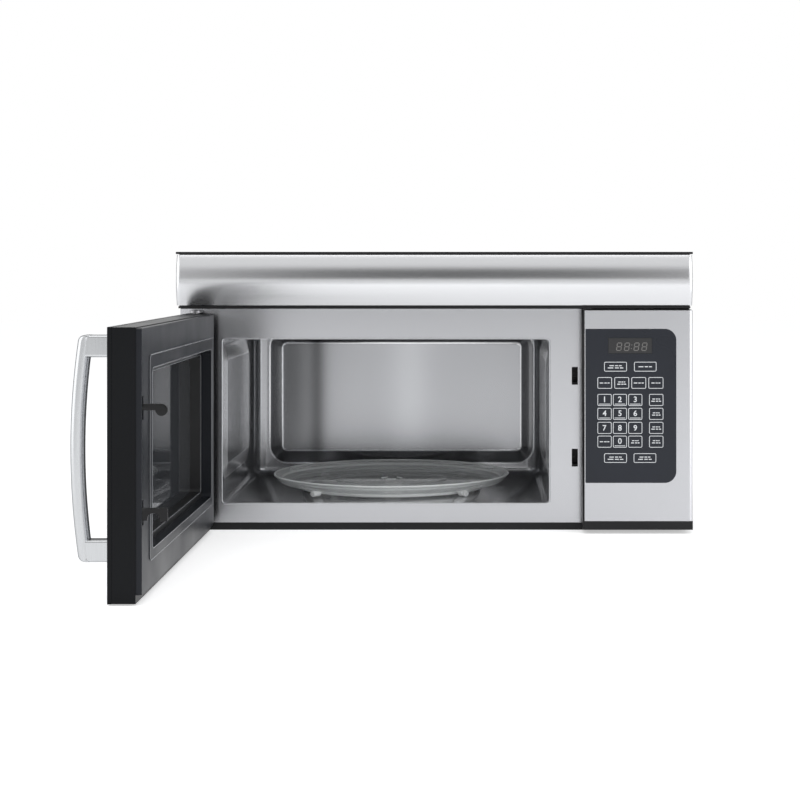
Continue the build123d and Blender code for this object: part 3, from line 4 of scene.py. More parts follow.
import bmesh
import bpy
import numpy as np
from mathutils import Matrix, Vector


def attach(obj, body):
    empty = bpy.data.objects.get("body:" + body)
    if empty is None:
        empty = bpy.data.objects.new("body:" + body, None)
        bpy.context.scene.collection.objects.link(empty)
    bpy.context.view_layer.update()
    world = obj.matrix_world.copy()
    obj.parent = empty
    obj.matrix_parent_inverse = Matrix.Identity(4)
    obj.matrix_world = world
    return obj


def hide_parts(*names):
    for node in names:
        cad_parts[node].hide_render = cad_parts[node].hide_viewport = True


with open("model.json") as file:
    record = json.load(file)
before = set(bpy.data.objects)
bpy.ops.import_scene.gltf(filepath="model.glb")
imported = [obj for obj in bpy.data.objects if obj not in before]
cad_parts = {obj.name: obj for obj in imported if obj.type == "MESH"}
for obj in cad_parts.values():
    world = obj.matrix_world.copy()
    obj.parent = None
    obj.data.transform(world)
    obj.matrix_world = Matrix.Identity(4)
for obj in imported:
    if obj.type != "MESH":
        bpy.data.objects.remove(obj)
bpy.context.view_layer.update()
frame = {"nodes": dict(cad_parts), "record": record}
nodes = frame["nodes"]
record = frame["record"]
bodyOfNode = {node: body for body, members in record["behaviour"]["bodies"].items() for node in members}
slotOfNode = {part["node"]: part["material_slot"] for part in record["subparts"]}
print("frame loaded:", len(nodes), "nodes")

baseZ = -0.207          # underside of the oven
frontY = -0.400         # plane of the face frame
doorOuter = -0.366      # outer face of the open door
doorHinged = -0.4015    # edge of the open door at its hinges

# Camera and studio. Each lamp holds its place, its target, its width and height, and its power.
studio = {
    "cameraAt": (0.060, -3.067, 0.188),
    "lens": 80.5,
    "sensor": 36.0,
    "shift": (-0.094, -0.169),
    "clipEnd": 60.0,
    "lamps": {
        "topSoftbox": ((0.0, -1.3, 2.3), (0.0, -0.5, 0.0), (2.6, 1.4), 17.0),
        "leftSoftbox": ((-2.3, -1.1, 0.6), (0.0, -0.4, 0.0), (2.4, 2.0), 17.0),
        "rightSoftbox": ((2.3, -1.1, 0.6), (0.0, -0.4, 0.0), (2.4, 2.0), 28.0),
        "frontFill": ((-0.05, -2.7, 0.30), (-0.07, -0.2, -0.05), (1.2, 0.8), 8.0),
    },
    "worldFill": 0.60,
    "fillColour": (0.97, 0.98, 1.0, 1),
    "floorHalf": 9.0,
    "floorColour": (0.90, 0.90, 0.90),
    "floorLift": 0.47,          # light that the white paper adds where it is seen or mirrored
    "cardAt": -4.5,
    "cardColour": (0.01, 0.01, 0.01),
    "cardHalf": 1.20,
    "cardLow": 0.33,
    "cardHigh": 2.9,
    "cardFull": (0.62, 0.50),   # shares of its half width and of its top where the card starts to fade
}

camera = bpy.data.objects.new("camera", bpy.data.cameras.new("camera"))
bpy.context.scene.collection.objects.link(camera)
camera.location = studio["cameraAt"]
camera.rotation_euler = (math.radians(90), 0, 0)        # looks straight along +Y
camera.data.lens = studio["lens"]
camera.data.sensor_width = studio["sensor"]
camera.data.shift_x, camera.data.shift_y = studio["shift"]
camera.data.clip_end = studio["clipEnd"]
bpy.context.scene.camera = camera
bpy.context.scene.view_settings.view_transform = "Standard"


def feed(tree, node, inputs):
    # links a node's named inputs to sockets, or sets them to plain values
    for name, value in inputs.items():
        if isinstance(value, bpy.types.NodeSocket):
            tree.links.new(value, node.inputs[name])
        else:
            node.inputs[name].default_value = value


def added(tree, kind, inputs, **settings):
    # a new shader node with its settings and inputs
    node = tree.nodes.new("ShaderNode" + kind)
    for name, value in settings.items():
        setattr(node, name, value)
    feed(tree, node, inputs)
    return node


def calculated(tree, operation, *values):
    # one step of arithmetic
    return added(tree, "Math", dict(enumerate(values)), operation=operation).outputs[0]


def mapped(tree, value, low, high, toLow, toHigh, kind="LINEAR"):
    # carries the range from low to high over to another one
    inputs = {"Value": value, "From Min": low, "From Max": high, "To Min": toLow, "To Max": toHigh}
    return added(tree, "MapRange", inputs, interpolation_type=kind).outputs[0]


def coordinates(tree, kind="Object"):
    return tree.nodes.new("ShaderNodeTexCoord").outputs[kind]


def separated(tree, vector):
    return added(tree, "SeparateXYZ", {0: vector}).outputs


def seenPaths(tree):
    # adds up Light Path's camera, glossy and transmission rays, held at one
    path = tree.nodes.new("ShaderNodeLightPath").outputs
    first = calculated(tree, "ADD", path["Is Camera Ray"], path["Is Glossy Ray"])
    total = calculated(tree, "ADD", first, path["Is Transmission Ray"])
    total.node.use_clamp = True
    return total


world = bpy.data.worlds.new("studioWorld")
world.use_nodes = True
bpy.context.scene.world = world
worldTree = world.node_tree
worldTree.nodes.clear()
worldFill = added(worldTree, "Background", {"Color": studio["fillColour"], "Strength": studio["worldFill"]})
worldSeen = added(worldTree, "Background", {"Color": (1, 1, 1, 1)})
worldMix = added(worldTree, "MixShader",
                 {0: seenPaths(worldTree), 1: worldFill.outputs[0], 2: worldSeen.outputs[0]})
added(worldTree, "OutputWorld", {"Surface": worldMix.outputs[0]})

for lampName, (place, target, (wide, tall), power) in studio["lamps"].items():
    data = bpy.data.lights.new(lampName, "AREA")
    data.shape = "RECTANGLE"
    data.size, data.size_y, data.energy = wide, tall, power
    lamp = bpy.data.objects.new(lampName, data)
    bpy.context.scene.collection.objects.link(lamp)
    lamp.location = place
    lamp.rotation_euler = (Vector(target) - Vector(place)).to_track_quat("-Z", "Y").to_euler()
    lamp.visible_glossy = lampName != "frontFill"       # this one fills the oven's inside, and isn't mirrored

finishes = {}       # each finish's material


def camel(words):
    first, *rest = words.split("_")
    return first + "".join(word.capitalize() for word in rest)


def shaderOf(finish, colour, roughness, metallic=0.0):
    # a new finish: its node tree and its shader
    material = bpy.data.materials.new(camel(finish))
    material.use_nodes = True
    finishes[finish] = material
    tree = material.node_tree
    shader = tree.nodes["Principled BSDF"]
    feed(tree, shader, {"Base Color": (*colour, 1), "Roughness": roughness, "Metallic": metallic})
    return tree, shader


def floorFinish():
    # white paper that melts into the background away from the object, and keeps its shadow
    tree, shader = shaderOf("studioFloor", studio["floorColour"], 0.9)
    lift = calculated(tree, "MULTIPLY", seenPaths(tree), studio["floorLift"])
    feed(tree, shader, {"Specular IOR Level": 0.0, "Emission Color": (1, 1, 1, 1), "Emission Strength": lift})


def cardFinish():
    # a matt card that fades out: its cover is a smooth step of the place across times one of the height
    tree, shader = shaderOf("darkCard", studio["cardColour"], 1.0)
    place = separated(tree, coordinates(tree))
    ways = (calculated(tree, "ABSOLUTE", place["X"]), place["Z"])
    ends = (studio["cardHalf"], studio["cardHigh"])
    covers = [mapped(tree, way, end * full, end, 1.0, 0.0, "SMOOTHSTEP")
              for way, end, full in zip(ways, ends, studio["cardFull"])]
    feed(tree, shader, {"Specular IOR Level": 0.0, "Alpha": calculated(tree, "MULTIPLY", *covers)})


def stageSheet(name, corners):
    # a flat four-cornered sheet of the studio, with the finish of its name
    mesh = bpy.data.meshes.new(name)
    mesh.from_pydata(corners, [], [(0, 1, 2, 3)])
    mesh.materials.append(finishes[name])
    sheet = bpy.data.objects.new(name, mesh)
    bpy.context.scene.collection.objects.link(sheet)
    return sheet


floorFinish()
cardFinish()
floorHalf, cardHalf, cardAt = studio["floorHalf"], studio["cardHalf"], studio["cardAt"]
cardLow, cardHigh = studio["cardLow"], studio["cardHigh"]
squareCorners = ((-1, -1), (1, -1), (1, 1), (-1, 1))
stageSheet("studioFloor", [(x * floorHalf, y * floorHalf, baseZ) for x, y in squareCorners])
darkCard = stageSheet("darkCard", [(-cardHalf, cardAt, cardLow), (-cardHalf, cardAt, cardHigh),
                                   (cardHalf, cardAt, cardHigh), (cardHalf, cardAt, cardLow)])
darkCard.visible_camera = darkCard.visible_shadow = darkCard.visible_diffuse = False
print("studio ready")


# Materials. Each maker takes the finish's name, its colour and its roughness first.
def objectNoise(tree, scale, detail=3.0, stretch=(1, 1, 1), kind="Object"):
    # noise on object or UV coordinates, stretched along the axes
    place = added(tree, "Mapping", {"Vector": coordinates(tree, kind), "Scale": stretch}).outputs[0]
    return added(tree, "TexNoise", {"Vector": place, "Scale": scale, "Detail": detail}).outputs["Fac"]


def spread(tree, value, low=0.0, high=1.0):
    # carries a pattern's middle range to between two numbers
    return mapped(tree, value, 0.3, 0.7, low, high)


def tint(tree, value, dark, light):
    # a colour between two by a pattern
    inputs = {"A": (*dark, 1), "B": (*light, 1), "Factor": value}
    return added(tree, "Mix", inputs, data_type="RGBA").outputs["Result"]


def tone(tree, value, colour, low, high):
    # a colour between two shares of itself by a pattern
    return tint(tree, value, *(tuple(min(1.0, part * share) for part in colour) for share in (low, high)))


def bumpFrom(tree, shader, value, distance):
    # raises the surface by a pattern, in metres
    bump = added(tree, "Bump", {"Height": value, "Distance": distance, "Strength": 1.0})
    tree.links.new(bump.outputs[0], shader.inputs["Normal"])


def times(tree, shade, value):
    # a colour times a number
    return added(tree, "VectorMath", {0: shade, "Scale": value}, operation="SCALE").outputs[0]


def paintedReflectionBand(tree, shade, place, width, share):
    # paints a reflection band: multiplies a colour by 1 + (share - 1) * exp(-((u - place) / width) squared),
    # with u along the sheet
    value = separated(tree, coordinates(tree, "UV"))["X"]
    for operation, number in (("SUBTRACT", place), ("DIVIDE", width), ("POWER", 2.0), ("MULTIPLY", -1.0)):
        value = calculated(tree, operation, value, number)
    lift = calculated(tree, "MULTIPLY", calculated(tree, "EXPONENT", value), share - 1)
    return times(tree, shade, calculated(tree, "ADD", lift, 1.0))


def brushedMetal(finish, colour, rough, along="x", lineDepth=0.000006, blur=0.0, contrast=1.0, paintedBands=(),
                 blurAxis=2, metallic=1.0, edge=1.0):
    # metal brushed along one axis: fine long lines in colour, gloss and height, and faint handling marks; the
    # gloss is wider across the lines than along them, and edge darkens what is seen at a low angle
    tree, shader = shaderOf(finish, colour, rough[0], metallic)
    stretch = {"x": (1.2, 110, 110), "z": (110, 110, 1.2), "u": (1.2, 110, 1)}[along]
    lines = objectNoise(tree, 24.0, 4.0, stretch, "UV" if along == "u" else "Object")
    marks = objectNoise(tree, 5.0, 2.0)
    if blur and along == "u":
        way = added(tree, "Tangent", {}, direction_type="UV_MAP")
        feed(tree, shader, {"Anisotropic": blur, "Anisotropic Rotation": 0.25, "Tangent": way.outputs[0]})
    elif blur:
        way = added(tree, "CombineXYZ", {blurAxis: 1.0})
        feed(tree, shader, {"Anisotropic": blur, "Tangent": way.outputs[0]})
    shade = tone(tree, spread(tree, lines), colour, 1 - 0.07 * contrast, 1 + 0.05 * contrast)
    for place, width, share in paintedBands:       # painted reflection: soft upright bands, lighter or darker, in the colour
        shade = paintedReflectionBand(tree, shade, place, width, share)
    if paintedBands:       # painted shade and light on the pressed panels, from the sheet's own attribute
        drawn = added(tree, "Attribute", {}, attribute_name="drawn")
        shade = times(tree, shade, drawn.outputs["Fac"])
    both = added(tree, "Mix", {"A": lines, "B": marks, "Factor": 0.35}, data_type="FLOAT").outputs["Result"]
    feed(tree, shader, {"Base Color": shade, "Roughness": spread(tree, both, *rough),
                        "Specular Tint": (edge, edge, edge, 1)})
    bumpFrom(tree, shader, lines, lineDepth)


def mouldedPlastic(finish, colour, rough, grain=0.00002, scale=900.0, coat=0.0, shine=0.35):
    # moulded plastic: fine spark grain, slow gloss changes and a trace of colour drift
    tree, shader = shaderOf(finish, colour, rough)
    slow = objectNoise(tree, 9.0, 2.0)
    feed(tree, shader, {"Base Color": tone(tree, spread(tree, slow), colour, 0.86, 1.12),
                        "Roughness": spread(tree, slow, rough * 0.86, min(1.0, rough * 1.18)),
                        "Specular IOR Level": shine, "Coat Weight": coat, "Coat Roughness": 0.05})
    bumpFrom(tree, shader, objectNoise(tree, scale, 2.0), grain)


def paintedSheet(finish, colour, rough, shine=0.5):
    # baked enamel on sheet steel: orange peel and faint wear in its gloss
    tree, shader = shaderOf(finish, colour, rough)
    wear = objectNoise(tree, 14.0, 4.0)
    feed(tree, shader, {"Base Color": tone(tree, spread(tree, wear), colour, 0.95, 1.05),
                        "Roughness": spread(tree, wear, rough * 0.94, rough * 1.06),
                        "Specular IOR Level": shine})
    bumpFrom(tree, shader, objectNoise(tree, 420.0, 1.0), 0.00003)


def zincSheet(finish, colour, rough):
    # galvanised sheet: flat crystals of slightly different grey and gloss
    tree, shader = shaderOf(finish, colour, rough[0], 1.0)
    cells = added(tree, "TexVoronoi", {"Vector": coordinates(tree), "Scale": 110.0})
    grey = added(tree, "SeparateColor", {0: cells.outputs["Color"]}).outputs
    feed(tree, shader, {"Base Color": tone(tree, grey[0], colour, 0.82, 1.12),
                        "Roughness": spread(tree, grey[1], *rough)})
    bumpFrom(tree, shader, objectNoise(tree, 260.0, 2.0), 0.00001)


def clearGlass(finish, colour, rough, transmission=1.0, dust=0.02):
    # glass with a little colour and faint smears in its gloss
    tree, shader = shaderOf(finish, colour, rough)
    smears = objectNoise(tree, 22.0, 3.0)
    feed(tree, shader, {"Base Color": tone(tree, spread(tree, smears), colour, 1.0, 1.04),
                        "Roughness": spread(tree, smears, rough, rough + dust),
                        "Transmission Weight": transmission, "IOR": 1.5})


def thinGlass(finish, colour, rough, flat, slanted, rim):
    # clear glass without its refraction: its cover grows at low angles and with the sheet's own rim attribute,
    # which also paints those places lighter as a painted highlight
    tree, shader = shaderOf(finish, colour, rough)
    paintedRimLight = added(tree, "Attribute", {}, attribute_name="rim").outputs["Fac"]
    facing = tree.nodes.new("ShaderNodeLayerWeight").outputs["Facing"]
    covers = (mapped(tree, paintedRimLight, 0.0, 1.0, flat, rim), mapped(tree, facing, 0.6, 0.95, flat, slanted))
    feed(tree, shader, {"Base Color": tone(tree, paintedRimLight, colour, 0.9, 1.0),
                        "Roughness": spread(tree, objectNoise(tree, 22.0, 3.0), rough, rough + 0.03),
                        "Alpha": calculated(tree, "MAXIMUM", *covers)})


def punchedScreen(finish, colour, rough, pitch=0.0021, holeShare=0.33):
    # a screen with a fine grid of round holes, found from the distance to the nearest hole's middle
    tree, shader = shaderOf(finish, colour, rough)
    place = separated(tree, coordinates(tree))
    over = [calculated(tree, "PINGPONG", place[axis], pitch / 2) for axis in ("Y", "Z")]
    total = calculated(tree, "ADD", *(calculated(tree, "POWER", way, 2.0) for way in over))
    inHole = calculated(tree, "LESS_THAN", total, (pitch * holeShare) ** 2)
    feed(tree, shader, {"Base Color": tint(tree, inHole, colour, (0.004, 0.004, 0.004))})
    bumpFrom(tree, shader, inHole, -0.0002)


def wireMesh(finish, colour, rough, pitch=0.004):
    # layered aluminium mesh: two slanted wave patterns over each other
    tree, shader = shaderOf(finish, colour, rough, 1.0)
    heights = []
    for turn in (0.9, -0.9):
        mapping = added(tree, "Mapping", {"Vector": coordinates(tree), "Rotation": (0, 0, turn)})
        wave = {"Vector": mapping.outputs[0], "Scale": 1.0 / pitch / 6.28 * 2, "Distortion": 1.5}
        heights.append(added(tree, "TexWave", wave).outputs["Fac"])
    top = calculated(tree, "MAXIMUM", *heights)
    feed(tree, shader, {"Base Color": tone(tree, top, colour, 0.12, 1.0)})
    bumpFrom(tree, shader, top, 0.0008)


paintedSheet("black_case_paint", (0.009, 0.0095, 0.0105), 0.38, 0.25)
zincSheet("zinc_sheet", (0.52, 0.54, 0.55), (0.3, 0.48))
brushedMetal("zinc_fasteners", (0.55, 0.55, 0.52), (0.25, 0.4))
# the three bands are painted reflections on the rear wall: a narrow dark band and a broader dark one left of
# the middle, and a lighter one near the middle
brushedMetal("oven_stainless", (0.410, 0.415, 0.430), (0.18, 0.21), "u", 0.0000003, 0.5, 0.5,
             ((-0.136, 0.014, 0.42), (-0.170, 0.045, 0.66), (0.022, 0.036, 1.22)), metallic=0.86)
brushedMetal("brushed_stainless", (0.535, 0.540, 0.560), (0.24, 0.26), "x", 0.0000002, 0.8, 0.45, edge=0.3)
brushedMetal("hinge_steel", (0.3, 0.3, 0.31), (0.3, 0.45), "z")
mouldedPlastic("mica", (0.55, 0.50, 0.40), 0.35, 0.00005, 300.0)
mouldedPlastic("black_plastic", (0.009, 0.009, 0.010), 0.42, shine=0.25)
mouldedPlastic("charcoal_pad", (0.02, 0.02, 0.021), 0.95, 0.0012, 420.0)
mouldedPlastic("keypad_film", (0.015, 0.0175, 0.0245), 0.30, 0.000004, 1200.0, shine=0.28)
mouldedPlastic("display_window", (0.029, 0.029, 0.030), 0.12, 0.000001)
mouldedPlastic("circuit_board", (0.05, 0.16, 0.06), 0.4, 0.00004, 500.0)
mouldedPlastic("white_plastic", (0.72, 0.72, 0.70), 0.4)
mouldedPlastic("switch_plastic", (0.012, 0.012, 0.013), 0.4)
mouldedPlastic("switch_plunger", (0.015, 0.015, 0.016), 0.35)
mouldedPlastic("door_plastic", (0.0065, 0.007, 0.008), 0.34, 0.00001, shine=0.1)
clearGlass("dark_glass", (0.05, 0.05, 0.055), 0.02, 0.6)
punchedScreen("perforated_screen", (0.028, 0.028, 0.03), 0.5)
clearGlass("window_glass", (0.05, 0.053, 0.058), 0.03, 0.25)
paintedSheet("door_plate_enamel", (0.013, 0.013, 0.014), 0.35)
mouldedPlastic("choke_plastic", (0.012, 0.0135, 0.017), 0.34, 0.000002, 500.0, shine=0.17)
mouldedPlastic("latch_plastic", (0.006, 0.006, 0.0065), 0.35, 0.00001, shine=0.25)
brushedMetal("spring_steel", (0.5, 0.5, 0.5), (0.2, 0.3), "z")
brushedMetal("handle_silver", (0.50, 0.51, 0.52), (0.20, 0.26), "z", 0.000001, edge=0.2)
thinGlass("tray_glass", (0.86, 0.89, 0.885), 0.03, 0.30, 0.66, 0.95)
clearGlass("ring_plastic", (0.88, 0.89, 0.89), 0.30, 0.35, 0.1)
clearGlass("roller_plastic", (0.92, 0.93, 0.93), 0.22, 0.15, 0.1)
brushedMetal("magnetron_metal", (0.55, 0.55, 0.55), (0.3, 0.45))
paintedSheet("transformer_iron", (0.07, 0.06, 0.055), 0.45)
brushedMetal("capacitor_can", (0.6, 0.6, 0.6), (0.2, 0.35), "z")
paintedSheet("motor_metal", (0.17, 0.17, 0.18), 0.4)
wireMesh("filter_mesh", (0.6, 0.6, 0.6), 0.35)
clearGlass("lens_glass", (0.9, 0.9, 0.88), 0.35, 0.9, 0.1)
mouldedPlastic("lamp_ceramic", (0.75, 0.73, 0.68), 0.35)
clearGlass("bulb_glass", (0.95, 0.95, 0.92), 0.05)
brushedMetal("visorSteel", (0.610, 0.615, 0.628), (0.21, 0.23), "x", 0.0000004, 0.6, 0.3, blurAxis=0,
             metallic=0.93, edge=0.15)
brushedMetal("floorSteel", (0.60, 0.605, 0.62), (0.10, 0.13), "x", 0.0000002, 0.0, 0.3, metallic=0.60)
# a light grey on the door's edge beads: a painted highlight on black plastic
mouldedPlastic("chokeEdge", (0.24, 0.25, 0.265), 0.25, 0.000002, 500.0, 0.3, 0.5)
mouldedPlastic("keypadInk", (0.72, 0.74, 0.76), 0.5, 0.000002)
mouldedPlastic("displayInk", (0.17, 0.165, 0.16), 0.5, 0.000002)

for nodeName, node in nodes.items():
    node.data.materials.clear()
    node.data.materials.append(finishes[slotOfNode[nodeName]])
print("materials ready:", len(finishes))


# The pieces below are worked out with numpy as whole grids. Sizes are in metres, in the oven's own frame.
def gridFaces(rows, columns, closeRows=False, closeColumns=False):
    # quads that join each point of a grid to the next one along both ways
    i, j = np.meshgrid(np.arange(rows if closeRows else rows - 1),
                       np.arange(columns if closeColumns else columns - 1), indexing="ij")
    nextI, nextJ = (i + 1) % rows, (j + 1) % columns
    quads = [i * columns + j, i * columns + nextJ, nextI * columns + nextJ, nextI * columns + j]
    return np.stack(quads, -1).reshape(-1, 4).tolist()


def endFaces(rows, columns):
    # one face over a grid's first row and one over its last
    return [list(range(columns)), list(range((rows - 1) * columns, rows * columns))]


def softLine(corners, steps=6):
    # a chain of points whose corners become short curves as long as their softness: from the start, a little
    # before the corner, to the end, a little after it, runs (1-t)^2 start + 2t(1-t) corner + t^2 end
    points, softness = np.array(corners)[:, :2], np.array(corners)[:, 2]
    t = np.linspace(0, 1, steps)[:, None]
    line = [points[:1]]
    for before, corner, after, reach in zip(points[:-2], points[1:-1], points[2:], softness[1:-1]):
        ways = (before - corner, after - corner)
        start, end = (corner + way * min(0.5, reach / np.linalg.norm(way)) for way in ways)
        line.append((1 - t) ** 2 * start + 2 * t * (1 - t) * corner + t ** 2 * end)
    line.append(points[-1:])
    return np.concatenate(line)


def cornerTurns(perCorner):
    # the angles of a rounded rectangle's four corners, one after the other
    turn = np.linspace(0, np.pi / 2, perCorner + 1)
    return np.concatenate([turn + quarter * np.pi / 2 for quarter in range(4)])[None]


def roundedRings(rows, perCorner=8):
    # each row is x0, x1, z0, z1, corner radius; its ring is each corner's centre plus radius (cos a, sin a)
    x0, x1, z0, z1, radius = (np.asarray(rows, float)[:, k][:, None] for k in range(5))
    angle = cornerTurns(perCorner)
    right = np.repeat([1.0, 0.0, 0.0, 1.0], perCorner + 1)[None]
    upper = np.repeat([1.0, 1.0, 0.0, 0.0], perCorner + 1)[None]
    x = right * (x1 - radius) + (1 - right) * (x0 + radius) + radius * np.cos(angle)
    z = upper * (z1 - radius) + (1 - upper) * (z0 + radius) + radius * np.sin(angle)
    return x, z


def doorPlace(along, depth, height):
    # the open door: along runs from the hinges to the camera, depth from the outer face to the right
    return np.stack(np.broadcast_arrays(doorOuter + depth, doorHinged - along, baseZ + height), -1)


def frontPlace(x, y, height):
    # anything that faces the front: height is measured from the underside
    return np.stack(np.broadcast_arrays(x, y, baseZ + height), -1)


def finishMesh(mesh, sharpAngle, fixNormals=True, flip=False):
    # turns faces outwards or over, then shades smooth up to the sharp angle
    if fixNormals or flip:
        work = bmesh.new()
        work.from_mesh(mesh)
        if fixNormals:
            bmesh.ops.recalc_face_normals(work, faces=work.faces)
        if flip:
            bmesh.ops.reverse_faces(work, faces=work.faces)
        work.to_mesh(mesh)
        work.free()
    mesh.shade_smooth()
    mesh.set_sharp_from_angle(angle=math.radians(sharpAngle))


def addMesh(name, mesh, finish, body, replaced=(), weighted=True):
    # puts a mesh in the scene as a piece with its finish, its body and the nodes that it stands for
    piece = bpy.data.objects.new(name, mesh)
    bpy.context.scene.collection.objects.link(piece)
    mesh.materials.clear()
    mesh.materials.append(finishes[finish])
    if weighted:        # flat faces keep flat shading beside their rounded edges
        weights = piece.modifiers.new("weights", "WEIGHTED_NORMAL")
        weights.keep_sharp = True
        weights.weight = 100
    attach(piece, body)
    if replaced:
        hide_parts(*replaced)
    return piece


def addPiece(name, vertices, faces, finish, body, replaced=(), sharpAngle=40.0, uv=None, fixNormals=True,
             flip=False, weighted=True):
    mesh = bpy.data.meshes.new(name)
    mesh.from_pydata(np.asarray(vertices, float).reshape(-1, 3).tolist(), [], faces)
    if uv is not None:
        corner = np.zeros(len(mesh.loops), np.int32)
        mesh.loops.foreach_get("vertex_index", corner)
        layer = mesh.uv_layers.new(name="sheet")
        layer.data.foreach_set("uv", np.asarray(uv, np.float32).reshape(-1, 2)[corner].ravel())
    finishMesh(mesh, sharpAngle, fixNormals, flip)
    return addMesh(name, mesh, finish, body, replaced, weighted)


def pointValues(piece, name, values):
    # one number for each vertex, which the piece's material reads
    layer = piece.data.attributes.new(name, "FLOAT", "POINT")
    layer.data.foreach_set("value", np.asarray(values, np.float32).ravel())


def thicken(piece, thickness):
    # gives a sheet its thickness behind the side that its faces point to
    shell = piece.modifiers.new("sheet", "SOLIDIFY")
    shell.thickness = thickness
    shell.offset = -1
    if len(piece.modifiers) > 1:
        piece.modifiers.move(1, 0)


def joined(parts):
    # one list of vertices and one of faces from several (vertices, faces) pairs
    vertices, faces, count = [], [], 0
    for points, quads in parts:
        points = np.asarray(points, float).reshape(-1, 3)
        vertices.append(points)
        faces += [[index + count for index in face] for face in quads]
        count += len(points)
    return np.concatenate(vertices), faces


def smoothCopy(nodeName, pieceName, keep=None, finish=None):
    # a merged copy of a CAD node, shaded smooth across its rounded edges; keep picks faces by their middles
    mesh = nodes[nodeName].data.copy()
    mesh.name = pieceName
    work = bmesh.new()
    work.from_mesh(mesh)
    bmesh.ops.remove_doubles(work, verts=work.verts, dist=0.000004)
    if keep:
        dropped = [face for face in work.faces if not keep(face.calc_center_median())]
        bmesh.ops.delete(work, geom=dropped, context="FACES")
    work.to_mesh(mesh)
    work.free()
    finishMesh(mesh, 32.0, fixNormals=False)
    return addMesh(pieceName, mesh, finish or slotOfNode[nodeName], bodyOfNode[nodeName], (nodeName,))


for nodeName in ("case_wrap", "grille_frame", "control_fascia", "control_housing", "door_frame", "latch_bar",
                 "turntable_coupler", "blower_housing", "blower_wheels", "rear_panel", "case_screws",
                 "handle_screws", "turntable_motor", "blower_motor", "high_voltage_capacitor",
                 "high_voltage_transformer", "lamp_bulbs", "cooling_fan_rotor", "cooling_fan_motor",
                 "cord_bush", "magnetron"):
    smoothCopy(nodeName, camel(nodeName) + "Shell")
smoothCopy("face_frame", "faceFrameSheet")
skinBack = doorOuter + 0.0008       # the skin's front lies to the left of this, its black edge to the right
smoothCopy("door_skin", "doorSkinFront", lambda middle: middle.x < skinBack)
smoothCopy("door_skin", "doorSkinEdge", lambda middle: middle.x >= skinBack, "door_plastic")
bpy.data.objects["grilleFrameShell"].visible_glossy = False     # keeps the visor's upper edge bright
print("smoothed copies ready")

# The visor: a bowed sheet along the front, rolled back at both ends.
visor = {"bottom": 0.3352, "top": 0.4096, "front": -0.445, "back": -0.428, "bulge": 0.009, "endRoll": 0.0065,
         "lip": 0.0005, "half": 0.3795, "sheet": 0.001, "rows": 44, "columns": 90, "rollSteps": 14,
         "backSteps": 5}


def buildVisor():
    # setback at height z is the arc's sagitta, plus a quarter-round lip at the top and bottom edges; the plan
    # path is back edge, quarter roll, front, quarter roll, back edge, and its right half mirrors its left
    low, high, lip, roll, half = (visor[key] for key in ("bottom", "top", "lip", "endRoll", "half"))
    rise = lip * (1 - np.cos(np.linspace(0, np.pi / 2, 7)))
    between = np.linspace(low + lip, high - lip, visor["rows"])[1:-1]
    height = np.concatenate([low + rise, between, high - rise[::-1]])
    edge = np.clip(np.minimum(height - low, high - height) / lip, 0, 1)
    bow = visor["bulge"] * ((height - (low + high) / 2) / ((high - low) / 2)) ** 2
    setback = bow + lip * (1 - np.sqrt(np.clip(1 - (1 - edge) ** 2, 0, 1)))
    steps, arc = visor["backSteps"], np.linspace(0, np.pi / 2, visor["rollSteps"])
    leftX = np.concatenate([np.full(steps, -half), -half + roll * (1 - np.cos(arc))])
    leftDepth = np.concatenate([np.full(steps, roll), roll * (1 - np.sin(arc))])
    leftBack = np.concatenate([1 - np.arange(steps) / steps, np.zeros(len(arc))])
    across = np.linspace(-half + roll, half - roll, visor["columns"])[1:-1]
    level = np.zeros(len(across))
    x = np.concatenate([leftX, across, -leftX[::-1]])
    depth = np.concatenate([leftDepth, level, leftDepth[::-1]])
    back = np.concatenate([leftBack, level, leftBack[::-1]])
    y = visor["front"] + depth + setback[:, None]
    y = y * (1 - back) + visor["back"] * back
    uv = np.stack(np.broadcast_arrays(x, height[:, None]), -1)
    faces = gridFaces(*y.shape) + endFaces(*y.shape)
    piece = addPiece("visorSheet", frontPlace(x, y, height[:, None]), faces, "visorSteel", "cabinet",
                     ("grille_visor",), 50.0, uv)
    thicken(piece, visor["sheet"])


buildVisor()

# The oven's inside: one sheet round the left, rear and right walls, with panels pressed into the oven, then
# the floor and ceiling. Each panel holds its margins: start and end along the wall, lower and upper edge.
oven = {"left": -0.3178, "right": 0.1710, "front": -0.3988, "back": -0.015, "floor": 0.039, "ceiling": 0.285,
        "rearCorner": 0.024, "floorCorner": 0.010, "sheet": 0.001,
        "sidePanel": (0.006, 0.075, 0.034, 0.011), "rearPanel": (0.028, 0.011, 0.018, 0.001),
        "panelCorner": 0.030, "pressDepth": 0.005, "pressSlope": 0.022, "pressSoft": 0.0011,
        # the ramp shares paint shade on the rear panel's ramp and light on the side panels' ramps; the lip
        # share paints a highlight on each ramp's shoulders
        "rampShade": (-1.6, 0.60, -1.6), "rampEdge": 0.001, "rampBlend": 0.0004,
        "lip": 0.0010, "lipShine": 3.0}


